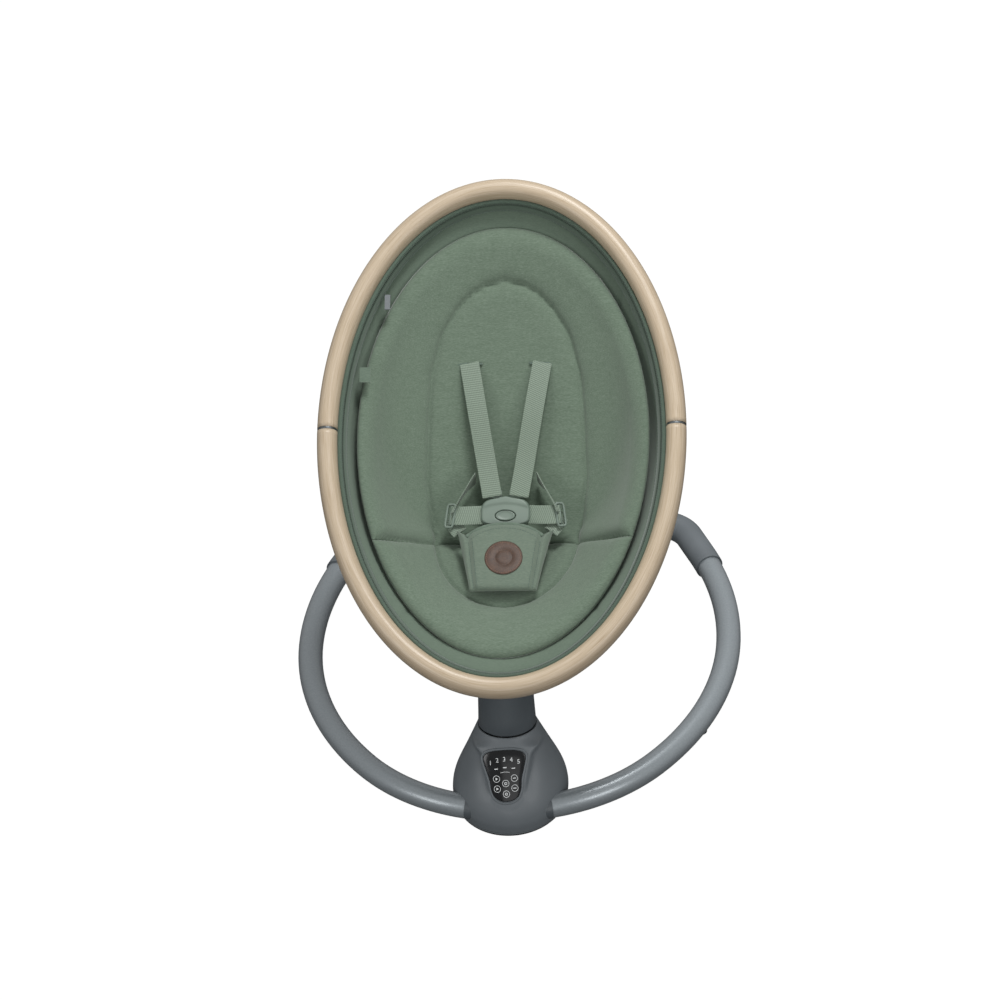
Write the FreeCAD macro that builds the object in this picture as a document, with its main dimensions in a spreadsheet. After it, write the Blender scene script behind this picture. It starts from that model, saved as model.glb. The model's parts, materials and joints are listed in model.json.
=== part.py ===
import FreeCAD, Part
import math
import os
from FreeCAD import Placement, Rotation, Vector

doc = FreeCAD.newDocument("baby_swing")

# ---------------------------------------------------------------- driving dimensions (millimetres, degrees)
SIZES = [
    ("hub_setback", 221.0, "distance of the hub's upright axis in front of the origin"),
    ("hub_half_width", 74.0, "half-width of the motor hub near the floor"),
    ("hub_half_depth", 80.0, "half-depth of the motor hub near the floor"),
    ("hub_wall", 3.0, "wall of the moulded hub shell"),
    ("pad_height", 3.0, "thickness of the rubber under the hub"),
    ("plate_height", 3.0, "thickness of the hub's base plate"),
    ("seam_height", 110.0, "height of the seam between hub and neck"),
    ("seam_setback", 17.0, "how far the seam's centre lies behind the hub axis"),
    ("swing_lean", 9.5, "backward lean of the swing axis"),
    ("neck_radius", 37.0, "radius of the neck at the seam"),
    ("neck_top_radius", 34.0, "radius of the neck at its top"),
    ("neck_length", 82.0, "length of the neck shell"),
    ("hinge_rise", 103.0, "height of the recline hinge above the seam, along the swing axis"),
    ("shaft_radius", 10.0, "radius of the swing shaft"),
    ("hinge_pin_radius", 5.0, "radius of the recline pin"),
    ("hinge_boss_radius", 13.0, "radius of the rounded hinge parts round the pin"),
    ("run_clearance", 0.05, "radial clearance of a running fit"),
    ("tube_radius", 16.0, "outer radius of the steel base tubes"),
    ("tube_wall", 1.5, "wall of the steel base tubes"),
    ("tube_height", 20.0, "height of the base tube centreline above the floor"),
    ("base_half_width", 274.7, "half-width of the base loop at the tube centreline"),
    ("base_half_depth", 320.1, "distance from the loop's widest line to its front, at the centreline"),
    ("base_widest", 271.7, "how far the loop's widest line lies behind the hub axis"),
    ("front_bend", 247.0, "radius of the front bend of a base tube"),
    ("rear_bend", 407.0, "radius of the long rear bend of a base tube"),
    ("elbow_mouth", 173.3, "how far behind the widest line a base tube enters its elbow"),
    ("elbow_radius", 18.5, "outer radius of the plastic elbows"),
    ("elbow_straight", 40.0, "straight part of an elbow before its bend"),
    ("elbow_lap", 28.0, "how far an elbow reaches over the end of its tube"),
    ("elbow_bend", 45.0, "centreline radius of an elbow's bend"),
    ("rim_half_length", 332.0, "half-length of the oval rim at its centreline"),
    ("rim_half_width", 222.0, "half-width of the oval rim at its centreline"),
    ("rim_section_half_width", 13.0, "half-width of the rim section, in the rim's plane"),
    ("rim_section_half_depth", 17.5, "half-depth of the rim section, square to its plane"),
    ("rim_tilt", 32.6, "tilt of the rim's plane at rest"),
    ("rim_setback", 228.0, "how far the rim's centre lies behind the hub axis"),
    ("rim_height", 408.5, "height of the rim's centre"),
    ("bucket_length", 316.0, "half-length of the fabric seat's mouth"),
    ("bucket_width", 207.0, "half-width of the fabric seat's mouth"),
    ("bucket_depth", 125.0, "depth of the fabric seat below the rim's plane"),
    ("bucket_edge", 12.0, "depth of the fabric seat's upper edge below the rim's plane"),
    ("bucket_wall", 4.0, "thickness of the fabric seat"),
    ("foot_run", 194.0, "how far the bowl draws in from its foot end down to the hips"),
    ("head_run", 384.0, "how far the bowl draws in from its head end down to the hips"),
    ("hip_width", 75.0, "half-width of the bowl's flat bottom"),
    ("inlay_width", 196.0, "half-width of the mouth that the inlay is cut from"),
    ("inlay_thickness", 12.0, "thickness of the newborn inlay"),
    ("hip_line", 106.0, "how far towards the foot end the inlay's hip crease lies"),
    ("webbing_width", 25.0, "width of the harness webbing"),
    ("webbing_thickness", 1.6, "thickness of the harness webbing"),
    ("button_radius", 8.0, "radius of a recline button"),
    ("button_travel", 3.0, "travel of a recline button"),
    ("buckle_button_travel", 2.0, "travel of the buckle's button"),
]

sheet = doc.addObject("Spreadsheet::Sheet", "Sizes")
for row, (alias, value, note) in enumerate(SIZES, start=1):
    sheet.set(f"A{row}", note)
    sheet.set(f"B{row}", str(value))
    sheet.setAlias(f"B{row}", alias)
doc.recompute()

parts = []


def size(alias):
    """The number in a cell of the sheet."""
    return float(sheet.get(alias))


def bind(item, **formulas):
    """Ties sizes of a document object to cells; each word that is an alias gets the sheet's name."""
    aliases = {alias for alias, value, note in SIZES}
    for prop, formula in formulas.items():
        words = [f"Sizes.{word}" if word in aliases else word for word in str(formula).split()]
        item.setExpression(prop, " ".join(words))
    return item


def part(item, label):
    """Names a finished sub-part, which becomes the node of the same name."""
    item.Label = label
    parts.append(item)
    return item


def place(x, y, z, axis=Vector(0, 0, 1), angle=0.0):
    return Placement(Vector(x, y, z), Rotation(axis, angle))


# ---------------------------------------------------------------- frames that the pieces are placed in
X_AXIS = Vector(1, 0, 0)
Y_AXIS = Vector(0, 1, 0)
HUB = place(0, -size("hub_setback"), 0)
SWING = HUB * place(0, size("seam_setback"), size("seam_height"), X_AXIS, -size("swing_lean"))
RIM = HUB * place(0, size("rim_setback"), size("rim_height"), X_AXIS, size("rim_tilt"))
HINGE = Placement(SWING.multVec(Vector(0, 0, size("hinge_rise"))), Rotation())
QUARTER = place(0, 0, 0, Vector(0, 0, 1), 90)
SIDES = {"left": -1, "right": 1}


# ---------------------------------------------------------------- small makers
def cylinder(name, frame, radius, height):
    item = bind(doc.addObject("Part::Cylinder", name), Radius=radius, Height=height)
    item.Placement = frame
    return item


def box(name, frame, length, width, height):
    """A box centred on its frame's origin in x and y, standing on it in z."""
    item = bind(doc.addObject("Part::Box", name), Length=length, Width=width, Height=height)
    item.Placement = frame * place(-length / 2, -width / 2, 0)
    return item


def cut(name, base, tool):
    item = doc.addObject("Part::Cut", name)
    item.Base = base
    item.Tool = tool
    return item


def fuse(name, items):
    item = doc.addObject("Part::MultiFuse", name)
    item.Shapes = items
    return item


def group(name, items):
    """Several equal separate solids that share one node."""
    item = doc.addObject("Part::Compound", name)
    item.Links = items
    return item


def ring(name, frame, outer, inner, height):
    return cut(name, cylinder(name + "_outside", frame, outer, height),
               cylinder(name + "_inside", frame, inner, height))


def ellipse(name, frame, along, across):
    """An ellipse whose long half lies along the frame's y axis."""
    item = bind(doc.addObject("Part::Ellipse", name), MajorRadius=along, MinorRadius=across)
    item.Placement = frame * QUARTER
    return item


def prism(name, frame, along, across, height):
    """An upright solid over an ellipse."""
    item = doc.addObject("Part::Extrusion", name)
    item.Base = ellipse(name + "_outline", frame, along, across)
    item.DirMode = "Custom"
    item.Dir = frame.Rotation.multVec(Vector(0, 0, 1))
    item.Solid = True
    return bind(item, LengthFwd=height)


# ---------------------------------------------------------------- motor hub
def hub_body(name, inset, start):
    """The leaning cone of the hub, drawn in from its outer face by an inset."""
    sections = []
    stations = [("foot", start, 1.0), ("skirt", 22, 1.0), ("shoulder", 42, 0.94), ("waist", 76, 0.73)]
    for station, level, share in stations:
        frame = HUB * place(0, size("seam_setback") * (level / size("seam_height")) ** 2, level)
        sections.append(ellipse(f"{name}_{station}", frame, f"hub_half_depth * {share} - {inset}",
                                f"hub_half_width * {share} - {inset}"))
    top = SWING * place(0, 0, -2 * inset / 3)
    sections.append(ellipse(f"{name}_top", top, f"neck_radius + 0.5 - {inset}", f"neck_radius + 0.5 - {inset}"))
    item = doc.addObject("Part::Loft", name)
    item.Sections = sections
    item.Solid = True
    return item


def front_frame(rise, proud):
    """A frame on the hub's sloping front: x to the right, y up the slope, z outwards."""
    foot = Vector(0, -size("hub_half_depth"), 22)
    crown = SWING.multVec(Vector(0, -size("neck_radius"), 0)) - HUB.Base
    slope = crown - foot
    tilt = math.degrees(math.atan2(slope.z, slope.y))
    along = Vector(slope).normalize()
    outward = Vector(0, -along.z, along.y)
    spot = foot + along * rise + outward * proud
    return HUB * Placement(spot, Rotation(X_AXIS, tilt))


def make_hub(tubes):
    shell = hub_body("hub_outside", 0, size("pad_height") + size("plate_height"))
    hollow = hub_body("hub_inside", size("hub_wall"), 4)
    shell = cut("hub_shell", shell, hollow)
    facet = front_frame(58, -13)
    cover = box("front_cover_block", facet, 60, 74, 16)
    recess = box("panel_recess", facet * place(0, 1, 13), 54.4, 64.4, 6)
    shell = cut("hub_shell_open", shell, box("cover_opening", facet, 60.2, 74.2, 40))
    shell = cut("hub_shell_bored", shell, cylinder("shaft_opening", SWING * place(0, 0, -20), 14, 40))
    for side, tube in tubes.items():
        shell = cut(f"hub_shell_{side}", shell, tube)
        cover = cut(f"front_cover_{side}", cover, tube)
    part(shell, "hub_housing")
    part(cut("front_cover", cover, recess), "hub_front_cover")
    part(box("panel", facet * place(0, 1, 13.1), 54, 64, 3), "control_panel")
    part(box("board", facet * place(0, 1, -4), 46, 52, 1.6), "control_board")
    plate = prism("plate", HUB * place(0, 0, size("pad_height")), "hub_half_depth - 2", "hub_half_width - 2",
                  "plate_height - 0.1")
    part(plate, "hub_base_plate")
    part(cut("foot_ring", prism("ring_outside", HUB, "hub_half_depth - 3", "hub_half_width - 3", "pad_height"),
             prism("ring_inside", HUB, "hub_half_depth - 15", "hub_half_width - 15", "pad_height")),
         "hub_foot_ring")
    part(cylinder("speaker_can", HUB * place(0, 52, 7), 17, 11), "speaker")
    socket = HUB * place(0, size("hub_half_depth") - 14, 28, X_AXIS, -90)
    part(ring("socket_barrel", socket, 4.5, 2.2, 8), "power_socket")
    coil = SWING * place(0, 36, -66)
    part(ring("coil_winding", coil, 15, 6, 10), "drive_coil")
    tower = SWING * place(0, 0, -88)
    window = box("tower_window", SWING * place(0, 14, -52), 44, 20, 10)
    part(cut("tower_open", ring("tower", tower, 18, 14, 70), window), "pivot_tower")
    for name, level in [("lower_bearing", -87), ("upper_bearing", -28)]:
        part(ring(name + "_ring", SWING * place(0, 0, level), 13.95, "shaft_radius + run_clearance", 9), name)
    screws = []
    for index, turn in enumerate((20, 60, 120, 160, 270)):
        spot = place(0, 0, 0, Vector(0, 0, 1), turn)
        screws.append(cylinder(f"hub_screw_{index}", HUB * spot * place(66, 0, 6.2), 2.5, 8))
    part(group("hub_screw_set", screws), "hub_screws")


# ---------------------------------------------------------------- base tubes
def side_bend():
    """Radius of the side bend that runs smoothly into the front bend."""
    depth, width, front = size("base_half_depth"), size("base_half_width"), size("front_bend")
    return (front ** 2 - width ** 2 - (depth - front) ** 2) / (2 * (front - width))


def arc(centre, radius, start, end):
    """An arc at the tube's height; angles in degrees from +x towards +y."""
    points = []
    for angle in (start, (start + end) / 2, end):
        turn = math.radians(angle)
        points.append(Vector(centre.x + radius * math.cos(turn), centre.y + radius * math.sin(turn), centre.z))
    return Part.Arc(*points).toShape()


def side_centre(radius):
    return Vector(size("base_half_width") - radius, size("base_widest"), size("tube_height"))


def front_centre():
    depth = size("base_half_depth") - size("front_bend")
    return Vector(0, size("base_widest") - depth, size("tube_height"))


def tube_edges(start):
    """Centreline of the right tube, from a front angle to the mouth of its elbow."""
    join = front_centre() - side_centre(side_bend())
    meet = math.degrees(math.atan2(join.y, join.x))
    mouth = math.degrees(math.asin(size("elbow_mouth") / size("rear_bend")))
    return [arc(front_centre(), size("front_bend"), start, meet),
            arc(side_centre(side_bend()), side_bend(), meet, 0),
            arc(side_centre(size("rear_bend")), size("rear_bend"), 0, mouth)]


def mouth_frame():
    """Where the right tube enters its elbow, with x along the tube."""
    mouth = math.asin(size("elbow_mouth") / size("rear_bend"))
    centre = side_centre(size("rear_bend"))
    spot = centre + Vector(math.cos(mouth), math.sin(mouth), 0) * size("rear_bend")
    return Placement(spot, Rotation(Vector(0, 0, 1), 90 + math.degrees(mouth)))


def elbow_edges():
    """Centreline of the right elbow: a sleeve over the tube's end, a straight and the bend."""
    mouth = mouth_frame()
    end = math.asin(size("elbow_mouth") / size("rear_bend"))
    lap = size("elbow_lap") / size("rear_bend")
    heading = mouth.Rotation.multVec(X_AXIS)
    corner = mouth.multVec(Vector(size("elbow_straight"), 0, 0))
    centre = mouth.multVec(Vector(size("elbow_straight"), size("elbow_bend"), 0))
    angle = math.degrees(math.atan2(heading.y, heading.x)) - 90
    return [arc(side_centre(size("rear_bend")), size("rear_bend"), math.degrees(end - lap), math.degrees(end)),
            Part.makeLine(mouth.Base, corner),
            arc(centre, size("elbow_bend"), angle, 90)]


def cross_tube_end():
    return elbow_edges()[-1].Vertexes[-1].Point


def sweep(name, edges, side, radius):
    """A round bar along edges given for the right side; the left one is its mirror image."""
    wire = Part.Wire(edges)
    start = wire.Edges[0].Vertexes[0].Point
    first = wire.Edges[0]
    tangent = first.tangentAt(first.FirstParameter)
    section = bind(doc.addObject("Part::Circle", name + "_section"), Radius=radius)
    section.Placement = Placement(start, Rotation(Vector(0, 0, 1), tangent))
    path = doc.addObject("Part::Feature", name + "_path")
    path.Shape = wire
    item = doc.addObject("Part::Sweep", name + "_sweep")
    item.Sections = [section]
    item.Spine = (path, [f"Edge{number + 1}" for number in range(len(wire.Edges))])
    item.Solid = True
    if side == "left":
        mirror = doc.addObject("Part::Mirroring", name + "_mirror")
        mirror.Source = item
        mirror.Normal = X_AXIS
        item = mirror
    item.Placement = HUB
    return item


def hollow_sweep(name, edges, side, outer, inner):
    return cut(name, sweep(name + "_out", edges, side, outer), sweep(name + "_in", edges, side, inner))


def make_base():
    """Returns the socket bars that the hub shell is cut with."""
    openings = {}
    for side, sign in SIDES.items():
        tube = hollow_sweep(f"tube_{side}", tube_edges(-81), side, "tube_radius", "tube_radius - tube_wall")
        part(tube, f"base_tube_{side}")
        collar = [arc(front_centre(), size("front_bend"), -84, -77.5)]
        part(hollow_sweep(f"socket_{side}", collar, side, "tube_radius + 3.5", "tube_radius + 0.02"),
             f"tube_socket_{side}")
        passage = [arc(front_centre(), size("front_bend"), -85, -62)]
        openings[side] = fuse(f"socket_room_{side}", [
            sweep(f"socket_clear_{side}", collar, side, "tube_radius + 3.55"),
            sweep(f"tube_clear_{side}", passage, side, "tube_radius + 0.3")])
        elbow = hollow_sweep(f"elbow_{side}", elbow_edges(), side, "elbow_radius", "tube_radius + 0.02")
        part(elbow, f"rear_elbow_{side}")
        middle = elbow_edges()[-1].Vertexes[0].Point
        pad = HUB * place(sign * (middle.x - 4), middle.y + 8, 0)
        part(cylinder(f"elbow_pad_{side}", pad, 11, "tube_height - elbow_radius"), f"elbow_foot_{side}")
        turn = math.radians(-25.5)
        spot = side_centre(side_bend()) + Vector(math.cos(turn), math.sin(turn), 0) * side_bend()
        part(cylinder(f"tube_pad_{side}", HUB * place(sign * spot.x, spot.y, 0), 9, "tube_height - tube_radius"),
             f"tube_foot_{side}")
    end = cross_tube_end()
    frame = HUB * Placement(Vector(-end.x, end.y, end.z), Rotation(Y_AXIS, 90))
    part(ring("cross_bar", frame, "tube_radius", "tube_radius - tube_wall", 2 * end.x), "rear_cross_tube")
    return openings


# ---------------------------------------------------------------- swinging neck
def make_neck():
    """Shell, shaft, magnet and hinge tongue: they all turn about the swing axis."""
    shell = bind(doc.addObject("Part::Cone", "neck_outside"), Radius1="neck_radius", Radius2="neck_top_radius",
                 Height="neck_length")
    shell.Placement = SWING * place(0, 0, 0.6)
    hollow = bind(doc.addObject("Part::Cone", "neck_inside"), Radius1="neck_radius - 3",
                  Radius2="neck_top_radius - 3", Height="neck_length - 6")
    hollow.Placement = SWING * place(0, 0, 0.6)
    shell = cut("neck_hollow", shell, hollow)
    slot = box("tongue_slot", SWING * place(0, 0, size("neck_length") - 10), 24.4, 26.4, 20)
    part(cut("neck", shell, slot), "neck_shell")
    part(cylinder("shaft", SWING * place(0, 0, -86), "shaft_radius", 120), "swing_shaft")
    part(box("magnet", SWING * place(0, 36, -55.5), 18, 14, 5.5), "drive_magnet")
    carrier = box("magnet_arm_bar", SWING * place(0, 26, -49.8), 14, 34, 5)
    part(cut("magnet_arm_cut", carrier, cylinder("arm_bore", SWING * place(0, 0, -60), "shaft_radius + 0.01", 20)),
         "magnet_arm")
    blade = box("tongue_blade", SWING * place(0, 0, 34.2), 24, 26, size("hinge_rise") - 34.2)
    round_end = cylinder("tongue_end", HINGE * Placement(Vector(-12, 0, 0), Rotation(Y_AXIS, 90)),
                         "hinge_boss_radius", 24)
    bore = cylinder("tongue_bore", HINGE * Placement(Vector(-20, 0, 0), Rotation(Y_AXIS, 90)),
                    "hinge_pin_radius + run_clearance", 40)
    part(cut("tongue", fuse("tongue_solid", [blade, round_end]), bore), "hinge_tongue")


# ---------------------------------------------------------------- recline hinge and cradle
def make_hinge():
    sideways = Placement(Vector(0, 0, 0), Rotation(Y_AXIS, 90))
    cheeks = []
    for side, sign in SIDES.items():
        near = 12.4 if sign > 0 else -26.4
        cheeks.append(cylinder(f"cheek_{side}", HINGE * place(near, 0, 0) * sideways, "hinge_boss_radius", 14))
        cheeks.append(box(f"cheek_web_{side}", HINGE * place(near + 7, 0, 0), 14, 26, 15))
    cheeks.append(box("cradle_plate", HINGE * place(0, -4, 14.2), 52.8, 54, 4.5))
    block = fuse("hinge_solid", cheeks)
    block = cut("hinge_bored", block, cylinder("hinge_bore", HINGE * place(-40, 0, 0) * sideways,
                                               "hinge_pin_radius", 80))
    for side, sign in SIDES.items():
        start = 19.4 if sign > 0 else -26.4
        recess = cylinder(f"button_recess_{side}", HINGE * place(start, 0, 0) * sideways, "button_radius + 0.3", 7)
        block = cut(f"hinge_recess_{side}", block, recess)
        inner = 22.9 if sign > 0 else -30.9
        part(cylinder(f"button_{side}", HINGE * place(inner, 0, 0) * sideways, "button_radius", 8),
             f"recline_button_{side}")
    part(block, "hinge_block")
    part(cylinder("recline_pin", HINGE * place(-19, 0, 0) * sideways, "hinge_pin_radius", 38), "hinge_pin")


def rim_spot(angle, drop):
    """A point under the rim; angle in degrees from the foot end, drop below the centreline."""
    turn = math.radians(angle)
    return Vector(size("rim_half_width") * math.sin(turn), -size("rim_half_length") * math.cos(turn), -drop)


def make_cradle(rim):
    screws = []
    for side, sign in SIDES.items():
        turn = 29.5 * sign
        spot = rim_spot(turn, size("rim_section_half_depth") + 5)
        heading = math.degrees(math.atan2(size("rim_half_length") * math.sin(math.radians(turn)),
                                          size("rim_half_width") * math.cos(math.radians(turn))))
        frame = RIM * Placement(spot, Rotation(Vector(0, 0, 1), heading))
        saddle = cut(f"saddle_{side}", box(f"saddle_block_{side}", frame, 30, 15, 13), rim)
        start = HINGE.multVec(Vector(sign * 17, -20, 8))
        end = RIM.multVec(rim_spot(turn, size("rim_section_half_depth") + 4))
        reach = end - start
        arm = Placement(start, Rotation(Vector(0, 0, 1), reach))
        bar = cylinder(f"arm_{side}", arm, 6, reach.Length - 3)
        part(cut(f"saddle_bored_{side}", saddle, bar), f"rim_saddle_{side}")
        part(cut(f"arm_end_{side}", bar, doc.getObject("hinge_solid")), f"cradle_arm_{side}")
        for shift in (-12, 12):
            screws.append(cylinder(f"saddle_screw_{side}_{shift + 12}", frame * place(shift, -3.5, -2.2), 2.5, 2.2))
    part(group("saddle_screw_set", screws), "saddle_screws")


# ---------------------------------------------------------------- oval rim
def rim_bar(name, start, end, grow):
    """Part of the oval rim; angles in degrees round the ellipse from the head end."""
    spine = ellipse(name + "_spine", RIM, "rim_half_length", "rim_half_width")
    spine.Angle1 = start % 360
    spine.Angle2 = end % 360
    turn = math.radians(start)
    spot = Vector(-size("rim_half_width") * math.sin(turn), size("rim_half_length") * math.cos(turn), 0)
    heading = Vector(-size("rim_half_width") * math.cos(turn), -size("rim_half_length") * math.sin(turn), 0)
    inward = Vector(0, 0, 1).cross(heading).normalize()
    section = bind(doc.addObject("Part::Ellipse", name + "_section"),
                   MajorRadius=f"rim_section_half_depth + {grow}", MinorRadius=f"rim_section_half_width + {grow}")
    turned = Rotation(Vector(0, 0, 1), inward, heading.normalize(), "XYZ")
    section.Placement = RIM * Placement(spot, turned)
    item = doc.addObject("Part::Sweep", name)
    item.Sections = [section]
    item.Spine = (spine, ["Edge1"])
    item.Solid = True
    return item


def make_rim():
    join = math.degrees(math.acos(9.8 / size("rim_half_length")))
    half_collar = math.degrees(2.0 / size("rim_half_length"))
    lower = rim_bar("rim_foot_half", join + half_collar, 360 - join - half_collar, 0)
    part(lower, "rim_lower")
    part(rim_bar("rim_head_half", -join + half_collar, join - half_collar, 0), "rim_upper")
    part(rim_bar("collar_one", join - half_collar, join + half_collar, 0.5), "rim_collar_left")
    part(rim_bar("collar_two", -join - half_collar, -join + half_collar, 0.5), "rim_collar_right")
    return lower


# ---------------------------------------------------------------- fabric seat and inlay
def oval(foot, head, half, level):
    """A closed oval wire in the rim's frame, from its foot end to its head end."""
    squeeze = FreeCAD.Matrix()
    squeeze.scale(half, (head - foot) / 2, 1)
    curve = Part.Circle(Vector(0, 0, 0), Vector(0, 0, 1), 1).toShape().transformGeometry(squeeze)
    curve.translate(Vector(0, (foot + head) / 2, level))
    return Part.Wire(curve.Edges)


def bowl_levels(start, width, inset, count=6):
    """Ovals of the seat's bowl from a share of its depth down to the hips, drawn in by an inset."""
    wires = []
    fall = size("bucket_depth") - size("bucket_edge") - inset
    for step in range(count):
        share = start + (1 - start) * step / (count - 1)
        foot = -size("bucket_length") + size("foot_run") * share ** 0.9 + inset
        head = size("bucket_length") - size("head_run") * share ** 1.53 - inset
        half = size("hip_width") + (width - size("hip_width")) * math.sqrt(1 - share ** 1.3) - inset
        wires.append(oval(foot, head, half, -size("bucket_edge") - fall * share))
    return wires


def bowl(start, width, outer_inset, inner_inset):
    """A bowl-shaped layer between two insets, closed along its upper edge."""
    walls = [bowl_levels(start, width, inset) for inset in (outer_inset, inner_inset)]
    faces = Part.makeRuledSurface(walls[0][0], walls[1][0]).Faces
    for wires in walls:
        faces += Part.makeLoft(wires, False, False).Faces
        faces.append(Part.Face(wires[-1]))
    skin = Part.makeShell(faces)
    skin.sewShape()
    layer = Part.makeSolid(skin.Shells[0])
    if layer.Volume < 0:
        layer.reverse()
    return layer


def soft(name, shape, label):
    item = doc.addObject("Part::Feature", name)
    item.Shape = shape
    item.Placement = RIM * shape.Placement
    return part(item, label)


def slab(x, y, z, length, width, height):
    return Part.makeBox(length, width, height, Vector(x - length / 2, y - width / 2, z))


def make_seat():
    wall = size("bucket_wall")
    soft("shell", bowl(0, size("bucket_width"), 0, wall), "seat_shell")
    inlay = bowl(0.14, size("inlay_width"), wall + 1, wall + 1 + size("inlay_thickness"))
    halves = inlay.cut(slab(0, -size("hip_line"), -150, 800, 3, 400)).Solids
    halves.sort(key=lambda half: half.CenterOfMass.y)
    soft("seat_pad", halves[0], "inlay_seat_pad")
    soft("back_pad", halves[1], "inlay_back_pad")
    make_band()


def make_band():
    """The zipped fabric band between the rim and the seat: a thin sloping oval ring."""
    def band_edge(inset, level):
        clear = size("rim_section_half_width") + 0.4 + inset
        along = size("rim_half_length") - clear
        return oval(-along, along, size("rim_half_width") - clear, level)

    outer = Part.makeLoft([band_edge(0, 2), band_edge(3, -11.5)], True, True)
    inner = Part.makeLoft([band_edge(2.5, 2), band_edge(11, -11.5)], True, True)
    soft("band", outer.cut(inner), "zip_band")
    soft("pull", slab(-148, 184, -8, 7, 20, 2.5), "zip_pull")
    soft("label", slab(-176, 88, -11, 14, 20, 1.2), "side_label")


# ---------------------------------------------------------------- harness
def strap(start, end):
    """Flat webbing between two points of the rim's frame."""
    reach = end - start
    band = Part.makeBox(size("webbing_width"), reach.Length, size("webbing_thickness"))
    band.translate(Vector(-size("webbing_width") / 2, 0, 0))
    along = Vector(reach).normalize()
    across = along.cross(Vector(0, 0, 1)).normalize()
    band.Placement = Placement(start, Rotation(across, along, across.cross(along), "XYZ")) * band.Placement
    return band


def make_harness():
    for side, sign in SIDES.items():
        soft(f"shoulder_{side}", strap(Vector(sign * 46, 117, -54), Vector(sign * 20, -44, -82)),
             f"shoulder_strap_{side}")
        top, low = Vector(sign * 44, -28, -89), Vector(sign * 72, -90, -84)
        waist = strap(top, low)
        soft(f"waist_{side}", waist, f"waist_strap_{side}")
        along = (low - top).normalize()
        across = along.cross(Vector(0, 0, 1)).normalize()
        turned = Rotation(across, along, across.cross(along), "XYZ")
        frame = slab(0, 0, -2.2, 34, 16, 6)
        frame = frame.cut(slab(0, 0, -0.6, 26.2, 40, 2.8))
        frame.Placement = Placement(top + along * 56, turned)
        soft(f"adjuster_{side}", frame, f"strap_adjuster_{side}")
    tongues = [slab(sign * 15, -51.8, -84, 20, 10, 2.4) for sign in SIDES.values()]
    soft("tongues", Part.makeCompound(tongues), "buckle_tongues")
    body = slab(0, -76, -91, 62, 38, 14)
    hole = Part.Face(Part.Wire(Part.Ellipse(Vector(0, -82, 0), 13.4, 7.4).toShape())).extrude(Vector(0, 0, 20))
    hole.translate(Vector(0, 0, -84))
    soft("buckle", body.cut(hole), "buckle_body")
    knob = Part.Face(Part.Wire(Part.Ellipse(Vector(0, -82, 0), 13, 7).toShape())).extrude(Vector(0, 0, 6.5))
    knob.translate(Vector(0, 0, -81))
    soft("knob", knob, "buckle_button")
    soft("crotch_web", strap(Vector(0, -98, -81), Vector(0, -168, -60)), "crotch_strap")
    make_cover()


def make_cover():
    """The padded crotch cover, a tapering slab over the strap, and its round leather patch."""
    top, low = Vector(0, -95, -72), Vector(0, -194, -42)
    reach = low - top
    outline = [Vector(-56, 10, 0), Vector(-40, 0, 0), Vector(40, 0, 0), Vector(56, 10, 0),
               Vector(43, reach.Length, 0), Vector(-43, reach.Length, 0)]
    cover = Part.Face(Part.makePolygon(outline + outline[:1])).extrude(Vector(0, 0, 7))
    along = Vector(reach).normalize()
    across = Vector(-1, 0, 0)
    frame = Placement(top, Rotation(across, along, across.cross(along), "XYZ"))
    cover.Placement = frame
    soft("cover", cover, "crotch_cover")
    patch = Part.makeCylinder(24, 2, Vector(0, 53, 7.05))
    patch.Placement = frame
    soft("patch", patch, "leather_patch")


def check_and_write():
    doc.recompute()
    for item in doc.Objects:
        if "Invalid" in item.State or "Error" in item.State:
            raise RuntimeError(f"{item.Name} failed: {item.State}")
    os.makedirs("parts", exist_ok=True)
    for item in parts:
        if item.Shape.isNull() or not item.Shape.isValid() or item.Shape.Volume <= 0:
            raise RuntimeError(f"{item.Label} has no sound shape")
        item.Shape.exportStep(f"parts/{item.Label}.step")


make_hub(make_base())
make_neck()
make_hinge()
make_cradle(make_rim())
make_seat()
make_harness()
check_and_write()
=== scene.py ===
import json
import math

import bmesh
import bpy
import numpy as np
from mathutils import Matrix, Vector


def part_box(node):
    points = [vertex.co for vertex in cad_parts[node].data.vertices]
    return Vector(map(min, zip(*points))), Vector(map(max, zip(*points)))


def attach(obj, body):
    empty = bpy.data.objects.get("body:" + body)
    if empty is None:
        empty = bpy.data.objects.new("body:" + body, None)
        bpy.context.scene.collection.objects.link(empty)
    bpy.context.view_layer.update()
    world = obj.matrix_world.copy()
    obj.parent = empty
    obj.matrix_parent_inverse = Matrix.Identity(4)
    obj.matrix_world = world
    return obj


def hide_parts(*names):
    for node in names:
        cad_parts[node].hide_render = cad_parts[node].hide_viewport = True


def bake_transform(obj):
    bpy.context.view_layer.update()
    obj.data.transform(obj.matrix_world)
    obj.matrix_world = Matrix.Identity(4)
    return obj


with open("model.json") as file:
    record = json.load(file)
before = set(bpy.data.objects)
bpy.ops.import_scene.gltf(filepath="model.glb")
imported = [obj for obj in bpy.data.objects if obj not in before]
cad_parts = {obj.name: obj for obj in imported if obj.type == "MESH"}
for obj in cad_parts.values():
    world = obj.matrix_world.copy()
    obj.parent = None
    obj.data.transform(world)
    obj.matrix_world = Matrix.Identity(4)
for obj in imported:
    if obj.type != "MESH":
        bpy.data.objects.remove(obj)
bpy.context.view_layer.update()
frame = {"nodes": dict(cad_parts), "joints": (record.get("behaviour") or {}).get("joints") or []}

MM = 0.001

# ---------------------------------------------------------------- places taken from the frame
joints = {joint["name"]: joint for joint in frame["joints"]}
RIM_CENTRE = (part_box("rim_lower")[0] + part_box("rim_upper")[1]) / 2
HUB_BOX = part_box("hub_base_plate")
HUB_CENTRE = Vector((0, (HUB_BOX[0].y + HUB_BOX[1].y) / 2, 0))

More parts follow.
